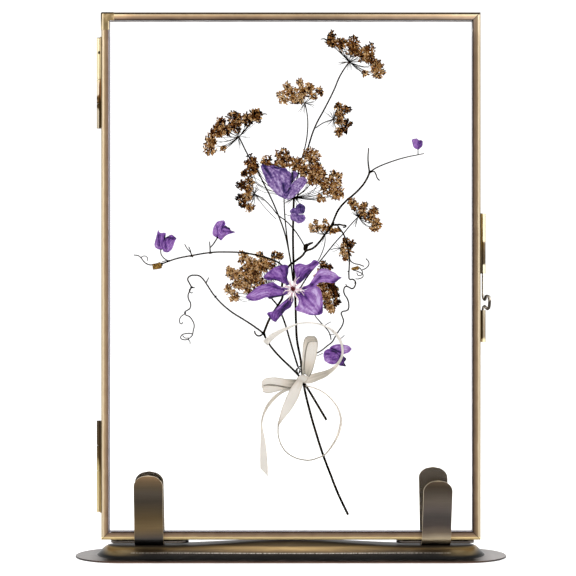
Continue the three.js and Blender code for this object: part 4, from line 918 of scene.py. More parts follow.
# %% All the sprays
MAIN_STEM = [
    (293.9, 197), (293.2, 220), (293, 241), (293.5, 262), (294.5, 283), (295.5, 303), (296, 322),
    (297, 340), (300.5, 359), (302, 372), (304, 386), (309, 408), (317, 436), (323.5, 456),
    (330, 473), (337, 491), (348, 514.5)]
SPRAYS = {  # name: layer, node, heads, stalks as (points, start width, end width)
    "umbel_main": ("main", "carrot_main_spray", "e", [(MAIN_STEM, 1.25, 1.45)]),
    "umbel_a": ("side", "carrot_spray_a", "a", [
        ([(349, 62), (340, 76), (334, 90), (325, 108), (315, 127), (308, 148), (301, 176), (297, 200)],
         0.8, 1), ([(327, 40.5), (324, 39), (320.5, 39.5)], 1, 0.4)]),
    "umbel_b": ("low", "carrot_spray_b", "b", [
        ([(305, 103), (307.5, 117), (307.5, 131), (305.5, 145), (302, 158), (295, 186)], 0.6, 0.8)]),
    "umbel_c": ("low", "carrot_spray_c", "c", [([(333.5, 119), (323, 123), (315.5, 128)], 0.6, 0.6)]),
    "umbel_d": ("side", "carrot_spray_d", "d", [
        ([(239, 137), (249, 157), (257, 170), (264, 184), (270.5, 197), (277, 212), (285, 234),
          (288, 247), (291, 264), (293, 281)], 0.8, 0.9),
        ([(261, 115.5), (264, 114), (267.5, 114.5)], 1, 0.4)]),
    "umbel_k": ("low", "carrot_spray_k", "k", [
        ([(254.5, 194), (262, 198), (271, 206.5), (278, 215), (286, 221), (292, 227), (300, 238),
          (305, 247)], 0.6, 0.7),
        ([(256, 195), (262, 204), (270, 213), (276, 219)], 0.35, 0.35)]),
    "umbel_f": ("side", "carrot_spray_f", "f", [
        ([(358, 217), (350, 225.5), (343, 234), (336, 241.5), (329, 250), (321, 260), (310, 273),
          (299, 290)], 0.6, 0.8)]),
    "umbel_g": ("low", "carrot_spray_g", "g", [
        ([(325, 234.5), (325, 242), (323, 250), (318.5, 260), (310, 272), (300, 288)], 0.5, 0.6)]),
    "umbel_h": ("low", "carrot_spray_h", "h", [([(340, 248.5), (334.5, 248.5), (330.5, 250)], 0.45, 0.45)]),
    "umbel_i": ("low", "carrot_spray_i", "i", [
        ([(266, 291), (273, 300), (277.5, 305.5), (282, 315.5), (285.5, 325), (289, 337),
          (292.5, 349), (298, 367)], 0.9, 1.1),
        ([(298.5, 374), (297, 371), (298.6, 367.5), (301, 366.5), (301.6, 369.5), (299.6, 372.5),
          (297, 374.5)],
         0.7, 0.6),
        ([(295.6, 371), (297.4, 368.4), (299.8, 369), (299, 372)], 0.7, 0.6)]),
    "umbel_j": ("low", "carrot_spray_j", "j j_buds", [
        ([(313, 300), (313.5, 309), (315.1, 315.5), (319.2, 320.7), (323.3, 325.3), (328, 330.5),
          (330.1, 334.7), (331.1, 339.8)], 0.6, 0.7),
        ([(329, 267.5), (323.5, 266), (317, 277), (312, 288), (313, 300)], 1.1, 0.6)]),
}

for name, (layer, node, heads, stalks) in SPRAYS.items():
    chance = random.Random(name)
    stalk = draw_tubes(name, stalks, dried_stem, roundness=2, resolution=5)
    press_into(stalk, layer)
    rays, clouds = [], []
    for head in heads.split():
        hub, umbellets = HEADS[head]
        if head != "j_buds":
            rays += head_routes(head, hub, umbellets, chance)
        clouds.append(floret_cloud(head, umbellets, chance))
    parts = [stalk]
    if rays:
        parts.append(draw_tubes(name + "_rays", rays, dried_stem, roundness=0, resolution=3))
    for part in parts[1:] + clouds:
        press_into(part, layer)
    spray = settle(join(name, *parts, *clouds), "dried_umbels", node)
    print(name, "faces:", len(spray.data.polygons))

# %% [markdown]
# ## The climbing stems
# A clematis climbs by winding its leaf stalks round whatever it meets. Dried, the stem keeps
# its swollen joints and the stalks keep their curls. Every run is drawn as a curve with a width
# at each end, then flattened in the press.

# %% Vines and tendrils
VINES = {
    "vine_lower": [
        ([(326.5, 420), (317, 404), (307, 387.5), (299.5, 376.5), (292.5, 369), (280, 357),
          (269, 344), (263, 333.5), (255, 327), (246, 321), (229, 310), (215.5, 297), (205.8, 282.8)],
         1.4, 0.8),
        ([(205.8, 282.8), (202.1, 278), (199.1, 275.8), (194.8, 275.2), (190.5, 275.8), (187.8, 278.6),
          (189.3, 282.9), (191.7, 287.2)], 0.8, 0.8),
        ([(206.2, 282.5), (208.9, 277.4)], 0.8, 0.5),
        ([(191.8, 287.4), (194.8, 287.8)], 0.8, 0.6),
        ([(193, 292.7), (190.8, 292.7), (189.3, 290.2), (191.1, 288.2)], 0.5, 0.6),
        ([(191.1, 288), (189.5, 291.5), (188.1, 295.1), (188.7, 299.4), (190.5, 303.1), (190.1, 308),
          (187.5, 310.2), (184.8, 312.2), (185.6, 314.7), (189.3, 316.5), (192.3, 320.2), (194.2, 325.1),
          (193.3, 330.6), (192.1, 335.5), (190.5, 337.3)], 0.75, 0.6),
        ([(185.4, 313.6), (184.4, 314.1), (180.7, 317.1), (179.5, 321.4), (181.3, 323.9),
          (182.8, 322)], 0.6, 0.5),
        ([(192.4, 334), (191, 333.5), (186.2, 333.6), (182, 334.9), (180.7, 337.9), (183.8, 339.7),
          (188.1, 339.1), (191.1, 336.7)], 0.6, 0.55),
        ([(182.6, 335.5), (185, 337.9), (188.7, 337.9)], 0.5, 0.45),
        ([(188.1, 339.4), (189.9, 341.6), (190.1, 344)], 0.5, 0.4),
        ([(254.5, 330.8), (255.7, 334.2), (259.1, 335.9), (262.5, 334.2), (264.2, 332.5)], 0.8, 1.0),
        ([(263.6, 331.3), (264.4, 334.4), (265.3, 337.6)], 1.5, 1.1)],
    "vine_upper": [
        ([(263.8, 332.6), (270, 318), (278.5, 304.5), (282.5, 297), (282, 286), (284, 275),
          (289.5, 265.5), (296, 260.5), (302.5, 255.5), (306, 251), (312.5, 248.5), (319, 242.5),
          (324.5, 235), (330.5, 227.5), (332, 224.5), (335, 217), (338, 210.5), (346, 201),
          (352, 196), (358.5, 190), (365, 182), (370, 172)], 1.35, 1.1),
        ([(369.5, 173), (368, 160), (368.6, 148)], 1.0, 0.65),
        ([(370, 172), (376, 168), (389, 162.5), (407, 157), (416, 155.2), (424, 153.6)], 0.85, 0.5),
        ([(370, 172.5), (374, 171.6), (375.8, 174.2), (377.2, 178), (379.6, 180.6)], 0.8, 0.7),
        ([(418, 154.8), (418, 149)], 0.55, 0.4),
        ([(304.6, 249.8), (306.6, 246), (309.4, 243.9), (312, 243)], 2.0, 1.1),
        ([(332.6, 224.4), (335.2, 225), (339.4, 224.5), (342.5, 225.2), (345.8, 226), (344.5, 227.3),
          (342.7, 226.9)], 1.2, 0.7)],
    "vine_tendril": [
        ([(335, 224.4), (336.3, 224.5), (339.4, 228.1), (343.5, 234.3), (346.1, 240.5), (348.2, 248),
          (349.2, 255), (349.4, 261.2), (349.2, 267.4), (348.9, 275.7), (349.7, 279.3), (352.8, 279.3),
          (355.4, 281.9), (354.9, 286), (352.3, 288.6), (348.7, 287.1), (345.6, 286.5), (343.8, 290.2),
          (344.5, 294.3), (347.1, 298.4), (348.7, 303.6), (347.7, 309.8), (341.4, 312.6), (342.5, 317.1),
          (343.5, 320.7), (342, 325.9), (338.3, 331.5), (335.2, 336.7), (332.1, 341.9), (327, 346),
          (321.8, 350.2), (315.2, 354)], 0.85, 0.75),
        ([(322.6, 353.4), (316.9, 356)], 0.45, 0.4), ([(345.6, 284), (347.4, 286.5)], 0.5, 0.5),
        ([(325.4, 324.8), (331.1, 321.7)], 0.45, 0.35), ([(340.4, 338.8), (344.6, 335.2)], 0.5, 0.4),
        ([(329, 334.7), (334.2, 334.7)], 0.45, 0.35), ([(349.2, 271), (347.4, 271.6)], 0.6, 0.5),
        ([(349.5, 256.5), (350.2, 260.2), (353.9, 263.3), (359, 264.5), (364.2, 266.4)], 0.7, 0.6),
        ([(365.8, 258.6), (368.3, 261.2), (368.9, 264.3), (366.3, 267.9), (362.1, 270)], 0.6, 0.6),
        ([(353, 270), (358, 271.6), (363.2, 275.7), (359, 278.8), (355.4, 278.8)], 0.6, 0.5),
        ([(357, 266), (361, 269.4), (362.4, 273.6), (358.6, 275.6), (356.6, 272.6)], 0.6, 0.5)],
    "vine_arch": [
        ([(283, 267), (281, 264.5), (272, 259.5), (260, 256), (245, 253), (223, 252), (211, 252.5),
          (192, 255.5), (177, 258.5), (169.7, 260.9), (161.5, 264)], 1.0, 0.8),
        ([(161.5, 264), (152.6, 264.8), (150.2, 264.9), (145.9, 263.3), (143.4, 260.9), (141, 257.8),
          (138.6, 255.8), (133.7, 255)], 0.7, 0.55),
        ([(141, 257.8), (142.8, 256.3), (145.9, 256.3), (147.7, 258.5), (147.1, 260.9)], 0.5, 0.45),
        ([(162, 261.9), (166.7, 260.7), (169.7, 260.9)], 0.45, 0.5),
        ([(192.3, 255.8), (191.1, 253.6), (190.4, 250.6), (188.6, 246.6)], 0.7, 0.5),
        ([(191.2, 253.8), (190.5, 252.3), (187.2, 248.6), (184.6, 244)], 0.7, 0.5),
        ([(192.3, 255.4), (192.6, 257.4)], 0.9, 0.6),
        ([(210.2, 252.3), (210, 247.5), (209.5, 241.6)], 0.8, 0.55),
        ([(210, 247.8), (213.1, 244.4), (215.6, 240.7), (218, 236.8)], 0.7, 0.8),
        ([(160.6, 249.4), (161.2, 254.2), (163.6, 257.8), (167.3, 260.3), (169.6, 260.9)], 0.6, 0.6)],
}
HUSKS = {  # papery pieces on the vines: points, start and end width in mm
    "vine_arch": ([(152.6, 266.8), (157, 266.2), (161.2, 265)], 3.4, 3.8),
    "vine_tendril": ([(351.4, 269), (353.6, 268.6), (356.4, 268.2), (358.4, 268)], 1.4, 2.4),
}
KNOBS = {  # swollen joints: column, row, length in mm, turn from upright in degrees
    "vine_lower": [(191.5, 287.4, 1.8, 70), (263.5, 333, 2.2, 50), (189.8, 309, 0.9, 20),
                   (185.6, 313, 1.0, 0), (215.6, 296.6, 1.6, 40)],
    "vine_upper": [(305.6, 247.2, 4.2, 15), (311.8, 243.1, 1.9, 60), (332.6, 224, 2.9, 30),
                   (345.4, 226.5, 1.6, 60), (369.8, 172, 2.1, 45), (352, 196, 1.3, 45)],
    "vine_tendril": [(349.6, 259.5, 1.3, 0), (348.3, 309.6, 1.1, 30), (354.8, 283, 1.0, 0),
                     (358.8, 268, 1.7, 80), (341.6, 312.8, 0.9, 0)],
    "vine_arch": [(192, 255.8, 2.2, 80), (210.6, 252.8, 2.2, 85), (169, 261, 2.0, 70),
                  (161.6, 264.6, 2.4, 10)],
}


def knob(column, row, length, turn, material):
    """A swollen joint: a small sphere drawn out, roughened by moving its points along a noise."""
    bpy.ops.mesh.primitive_uv_sphere_add(segments=10, ring_count=7, radius=length / 2 * MM)
    small = bpy.context.object
    for v in small.data.vertices:
        v.co.x *= 0.62
        v.co.y *= 0.62
        v.co += v.co * 0.35 * noise.noise(v.co * 1400 + Vector((column, 0, row)))
    x, z = place(column, row)
    small.rotation_euler = (0, math.radians(turn), 0)
    small.location = (x, 0, z)
    bpy.ops.object.transform_apply(location=True, rotation=True)
    bpy.ops.object.shade_smooth()
    small.data.materials.append(material)
    return small


for name, runs in VINES.items():
    parts = [draw_tubes(name + "_stems", runs, dried_vine, roundness=2, resolution=5)]
    parts += [knob(*swelling, dried_vine) for swelling in KNOBS[name]]
    if name in HUSKS:
        parts.append(draw_tubes(name + "_husk", [HUSKS[name]], dried_husk, roundness=2))
    for part in parts:
        press_into(part, "vine")
    vine = settle(join(name + "_dried", *parts), "dried_vines", name)
    print(name, "faces:", len(vine.data.polygons))

half_stalk = draw_tubes("half_flower_stalk", [
    ([(284, 197), (284.5, 212), (286.5, 233), (289.5, 256)], 0.7, 0.8),
    ([(284.5, 214), (288, 215.4), (291, 216)], 0.35, 0.3)], dried_vine, roundness=2, resolution=5)
press_into(half_stalk, "main")
settle(half_stalk, "dried_vines", "half_clematis_stalk")

# %% [markdown]
# ## Pressed petals
# A clematis tepal is a thin blade with ribs that run from its base to its tip. Pressing folds
# it, creases it and drives the violet to the folds. Each petal is a grid whose two long edges
# are laid on drawn lines, so its rows run across it and its columns follow its ribs. The grid
# is then ribbed, creased, given a paper's thickness, and painted with its tone.


# %% Sheets between two drawn edges
def curve_point(a, b, c, d, t):
    """A point of the smooth curve from b to c, whose slopes at its ends follow a and d."""
    return 0.5 * (2 * b + (c - a) * t + (2 * a - 5 * b + 4 * c - d) * t * t
                  + (3 * b - a - 3 * c + d) * t**3)


def smooth_line(points, count):
    """Evenly spaced points on a smooth line through the drawn ones."""
    drawn = np.array(points, float)
    ends = np.vstack([2 * drawn[0] - drawn[1], drawn, 2 * drawn[-1] - drawn[-2]])
    dense = []
    for i in range(len(drawn) - 1):
        dense += [curve_point(*ends[i : i + 4], t) for t in np.linspace(0, 1, 8, endpoint=False)]
    dense = np.array(dense + [drawn[-1]])
    walked = np.r_[0, np.cumsum(np.linalg.norm(np.diff(dense, axis=0), axis=1))]
    wanted = np.linspace(0, walked[-1], count)
    return np.stack([np.interp(wanted, walked, dense[:, k]) for k in (0, 1)], 1)


def sheet_between(name, left, right, relief, tone, across, along):
    """A thin sheet laid between two drawn edges. relief and tone read (u, v, column, row)."""
    bpy.ops.mesh.primitive_grid_add(x_subdivisions=across, y_subdivisions=along, size=2)
    sheet = bpy.context.object
    sheet.name = name
    one, two = smooth_line(left, along + 1), smooth_line(right, along + 1)
    painted = []
    for v in sheet.data.vertices:
        u, run = (v.co.x + 1) / 2, (v.co.y + 1) / 2
        row = round(run * along)
        column_row = one[row] * (1 - u) + two[row] * u
        x, z = place(*column_row)
        v.co = (x, relief(u, run, *column_row) * MM, z)
        painted.append(tone(u, run, *column_row))
    paint(sheet, "tone", painted)
    weld()
    thicken(sheet, SHEET_THICKNESS)
    bpy.ops.object.shade_smooth()
    return sheet


SHEET_THICKNESS = 0.1 * MM


def crumple(column, row, size, seed):
    """Soft creases: noise whose folds are about so many squares wide."""
    return noise.noise(Vector((column / size, seed * 7.3, row / size)))


print("thickness of a sheet in mm:", SHEET_THICKNESS / MM)

# %% [markdown]
# A petal takes its colour from the tone painted on it. Fine veins follow its ribs, and a blush of
# small blotches breaks the violet up.


# %% Petal material
def lengthwise(tree, across, along, detail, distortion=0.0):
    """A noise in fine lines along a sheet, in the coordinates of its grid."""
    on_sheet = add_node(tree, "TexCoord").outputs["UV"]
    drawn_out = add_node(tree, "Mapping", {"Vector": on_sheet, "Scale": (across, along, 1)})
    return add_node(tree, "TexNoise", {"Vector": drawn_out, "Scale": 1.0, "Detail": detail,
                                       "Distortion": distortion})


def petal_skin(name, shades, speckle, speckle_mm):
    """Thin pressed petal: tone gives its violet, and fine veins follow the ribs of its grid."""
    material, tree = start_material(name)
    veins = lengthwise(tree, 46, 2.2, 3.0, 0.5)
    spot = add_node(tree, "TexCoord").outputs["Object"]
    blush = add_node(tree, "TexNoise", {"Vector": spot, "Scale": per_mm(speckle_mm), "Detail": 3.0})
    tone = add_node(tree, "Attribute", attribute_name="tone").outputs["Fac"]
    level = add_node(tree, "Math.ADD", tone, add_node(tree, "Math.MULTIPLY_ADD", veins, 0.5, -0.25))
    level = add_node(tree, "Math.ADD", level,
                     add_node(tree, "Math.MULTIPLY_ADD", blush, speckle, -speckle / 2))
    colour = add_node(tree, "ValToRGB", level, ramp=shades)
    bump = add_node(tree, "Bump", {"Strength": 0.5, "Distance": 0.05 * MM, "Height": veins})
    finish_surface(tree, {"Base Color": colour, "Roughness": 0.62, "Specular IOR Level": 0.3,
                          "Sheen Weight": 0.15, "Normal": bump})
    return material


violet_petal = petal_skin("pressed_clematis_petal", [
    (0.02, "#12041f"), (0.2, "#321156"), (0.4, "#5e3086"), (0.58, "#8554a8"), (0.76, "#a87cc4"),
    (0.98, "#d6bee8")], speckle=0.26, speckle_mm=1.2)
blue_petal = petal_skin("pressed_half_open_petal", [
    (0.02, "#0c0420"), (0.2, "#20114a"), (0.4, "#422c70"), (0.58, "#6a4c90"), (0.76, "#9272b0"),
    (0.98, "#c8b6dc")], speckle=1.1, speckle_mm=1.3)
print("petal skin mixed")

# %% [markdown]
# The open flower's six tepals are drawn edge by edge from their base. A list of marks adds spots
# and streaks, each with a reach and a change of tone. The dark ones are partly colour driven deep
# by a fold and partly painted shade in the folds; the pale ones are partly left by the press and
# partly painted highlights.

# %% The open clematis
TEPALS = {  # left edge, right edge (base to tip), tone, marks of colour and painted light (column, row, ..., reach, change)
    "clematis_tepal_top_left": (
        [(287, 285.6), (281.8, 282.6), (275.1, 280.2), (268, 280.2), (263.5, 276.8), (268, 272.2),
         (273, 268.4)],
        [(289.5, 284.5), (287.2, 277.5), (288.4, 272.5), (287.7, 265.5), (282.1, 264.8),
         (276.5, 266.6), (273, 268.4)],
        0.54, [(286, 280, 287.5, 268, 2, -0.34), (278, 280, 268, 278, 1.6, -0.3),
               (282, 276, 274, 270, 2.2, 0.16),
               (284, 278, 280, 267, 0.9, -0.24), (272, 276, 266, 276.5, 1.6, 0.12)]),
    "clematis_tepal_top_right": (
        [(296, 283.8), (295.6, 277), (294.8, 270), (294.4, 265.5), (299.6, 263.4), (306, 264.8),
         (310.9, 262.7), (313.7, 259.9), (317.2, 261)],
        [(298, 284.9), (303.9, 279.6), (308.8, 273.9), (313, 269), (318.9, 264.1), (318.4, 262),
         (317.2, 261)],
        0.6, [(300, 281, 309, 271, 2.2, -0.42), (298, 279, 304, 268, 1, -0.2),
              (297, 270, 304, 267, 3, 0.15),
              (309, 266, 316, 263, 1.4, -0.24)]),
    "clematis_tepal_right": (
        [(298.2, 287.8), (307.4, 285.2), (310.9, 281.8), (313.7, 277.2), (317.2, 271.8), (320.7, 269),
         (326.3, 268.8), (331.2, 271.1), (335.4, 273.2), (338.2, 276.2), (341.8, 277.5)],
        [(303.5, 290), (309.5, 288), (315.5, 286.4), (318.9, 282.8), (325.6, 282.2), (331.2, 283),
         (335.4, 282.4), (338.9, 279.6), (341.8, 277.5)],
        0.74, [(333, 282, 339, 278.5, 1.8, -0.46), (312, 285, 320, 277, 1.6, -0.34),
               (320, 277, 330, 277, 1.2, -0.22),
               (322, 272, 334, 274.6, 2.6, 0.14), (303, 288, 311, 285, 2.4, -0.3)]),
    "clematis_tepal_bottom_right": (
        [(297.5, 291.4), (303.2, 290.6), (310.2, 287.6), (314.4, 286.2), (318.4, 287), (321.2, 292),
         (322.5, 299.9), (322.8, 305.5), (322.5, 312.9), (318.6, 315)],
        [(295.4, 294), (298.4, 299), (298, 304.5), (295.4, 309.7), (304.6, 313.2), (310.2, 315),
         (318.6, 315)],
        0.74, [(299, 292.6, 306, 297, 2.6, -0.36), (319, 314, 322.4, 308, 2, -0.5),
               (303, 295, 314, 306, 0.9, -0.2),
               (304, 292, 317, 297, 0.9, -0.18), (301, 297, 305, 310, 0.9, -0.2),
               (302, 308, 313, 312.6, 2.4, 0.14),
               (310, 315, 317, 315, 1.2, -0.3), (315, 290, 319, 302, 2.6, 0.13)]),
    "clematis_tepal_bottom": (
        [(287.7, 298.3), (282.1, 302.7), (277.2, 307.6), (273, 311.1), (268, 312.3), (267.4, 314.6),
         (272.3, 320.3), (275.8, 322)],
        [(292, 293.8), (293.7, 299.9), (291.9, 304.1), (290.5, 307.3), (285.6, 310.4), (282.1, 314.6),
         (278.9, 318.2), (275.8, 322)],
        0.4, [(290, 297, 282, 312, 2.2, -0.3), (288, 300, 277, 309, 1, 0.36),
              (271, 313, 276, 316, 2, 0.16),
              (276, 321, 280, 316, 1.2, -0.2)]),
    "clematis_tepal_left": (
        [(288.8, 288.6), (279.3, 286), (275, 283.2), (272.5, 282), (268, 283.4), (259.6, 285.6),
         (252.6, 290.8), (245.6, 296.4)],
        [(289, 291.2), (287, 294.2), (282.1, 296.2), (273.7, 297.8), (269.5, 299.2), (266.7, 297.1),
         (259.6, 299.9), (253.3, 301), (247.7, 299.2), (245.6, 296.4)],
        0.62, [(270, 298, 284, 295.5, 1.8, -0.46), (268, 285, 284, 290, 1.2, -0.34),
               (252, 295, 268, 292.6, 2.4, 0.17),
               (272, 282.5, 276, 286, 1.4, -0.2), (247, 298, 252, 300, 1.2, -0.2),
               (262, 287, 272, 286, 1.6, 0.12)]),
}


def petal_tone(base, marks_and_painted_light, seed):
    """The tone over a petal: dark at its base and edges, mottled and streaked, with painted shade along its
    folds and the listed marks of colour and painted light.
    """
    def tone(u, v, column, row):
        level = base - 0.3 * math.exp(-((v / 0.1) ** 2)) - 0.1 * (abs(2 * u - 1) ** 6)
        # Painted shade: the tone follows the same folds as the petal's relief.
        level += 0.1 * crumple(column, row, 6, seed) + 0.16 * crumple(column, row, 1.3, seed + 5)
        level += 0.08 * math.cos(2 * math.pi * 5 * u + 3 * crumple(column, row, 7, seed))
        for *streak, reach, change in marks_and_painted_light:
            start, end = Vector(streak[:2]), Vector(streak[-2:])
            run = end - start
            here = Vector((column, row)) - start
            share = min(1, max(0, here.dot(run) / max(run.length_squared, 1e-9)))
            away = (here - run * share).length / reach
            level += change * math.exp(-away * away)
        return min(1, max(0, level))
    return tone


def petal_relief(seed, ribs=7, deep=0.3):
    """How far a point of a petal stands out, in mm: ribs, curled edges and soft folds."""
    def relief(u, v, column, row):
        rib = 0.045 * math.cos(2 * math.pi * ribs * u) * math.sin(math.pi * min(v * 1.4, 1))
        curl = -0.12 * abs(2 * u - 1) ** 3
        return rib + curl + deep * crumple(column, row, 6, seed) + 0.12 * crumple(column, row, 2, seed + 9)
    return relief


for seed, (name, (left, right, base, marks_and_painted_light)) in enumerate(TEPALS.items()):
    tepal = sheet_between(name + "_petal", left, right, petal_relief(seed),
                          petal_tone(base, marks_and_painted_light, seed), across=28, along=34)
    tepal.data.materials.append(violet_petal)
    press_into(tepal, "flower")
    settle(tepal, "pressed_petals", name)
print("tepals:", len(TEPALS))

# %% [markdown]
# The heart is a dark red knob of carpels, ringed by stamens: cream and pink filaments that grow
# thinner towards their tips. They lie on the petals, so they are pressed just in front.

# %% Heart and stamens
carpel_red = dry_matter("dried_carpels", [
    (0.3, "#2a0508"), (0.5, "#5a1216"), (0.7, "#8c3030")], 0.35, 0.1)
filament_cream = dry_matter("stamen_filament", [
    (0.3, "#d9a9bd"), (0.5, "#f0d6de"), (0.7, "#fdf3f0")], 1.2, 0.02)
HEART = (293, 289)
STAMENS = 26
HEART_Y, HEART_FLAT = -1.12, 0.35  # mm in front of the middle, and how flat it was pressed
chance = random.Random(11)
filaments = []
for k in range(STAMENS):
    turn = 2 * math.pi * (k + chance.uniform(-0.6, 0.6)) / STAMENS
    reach = chance.uniform(7, 11.5) if k % 3 else chance.uniform(4, 6.5)
    aim, sway = Vector((math.cos(turn), math.sin(turn))), chance.uniform(-0.22, 0.22)
    bend = Vector((-aim.y, aim.x)) * sway * reach
    start = Vector(HEART) + aim * 2.2
    filaments.append(([(*start, 0), (*(start + aim * reach * 0.5 + bend), -0.05),
                       (*(start + aim * reach), chance.uniform(-0.08, 0))], 0.7, 0.42))
stamens = draw_tubes("stamens", filaments, filament_cream, roundness=1, resolution=4)
bpy.ops.mesh.primitive_uv_sphere_add(segments=24, ring_count=14, radius=3.1 * SQUARE)
heart = bpy.context.object
for v in heart.data.vertices:
    v.co += v.co.normalized() * 1.1 * SQUARE * noise.noise(v.co * 1500)
    v.co.y *= 0.2
x, z = place(*HEART)
heart.location = (x, -0.08 * MM, z)
bpy.ops.object.transform_apply(location=True)
bpy.ops.object.shade_smooth()
heart.data.materials.append(carpel_red)
core = join("clematis_stamens", heart, stamens)
for v in core.data.vertices:
    v.co.y = HEART_Y * MM + v.co.y * HEART_FLAT
settle(core, "flower_heart", "clematis_heart")
print("stamens:", len(filaments))

# %% [markdown]
# ## The half-open flower and the small ones
# These were pressed from the side or crumpled, so their petals overlap. Each is drawn as a ring
# of corners with a base corner and a tip corner, and the two ways round the ring are its edges.


# %% Crumpled flowers
def ring_petal(name, ring, tip, base_tone, marks_and_painted_light, seed, skin):
    """A petal from a drawn ring of corners that starts at its base, with the tip's index."""
    left = ring[: tip + 1]
    right = [ring[0]] + ring[tip:][::-1]
    petal = sheet_between(name, left, right, petal_relief(seed, ribs=5, deep=0.2),
                          petal_tone(base_tone, marks_and_painted_light, seed), across=22, along=24)
    petal.data.materials.append(skin)
    return petal


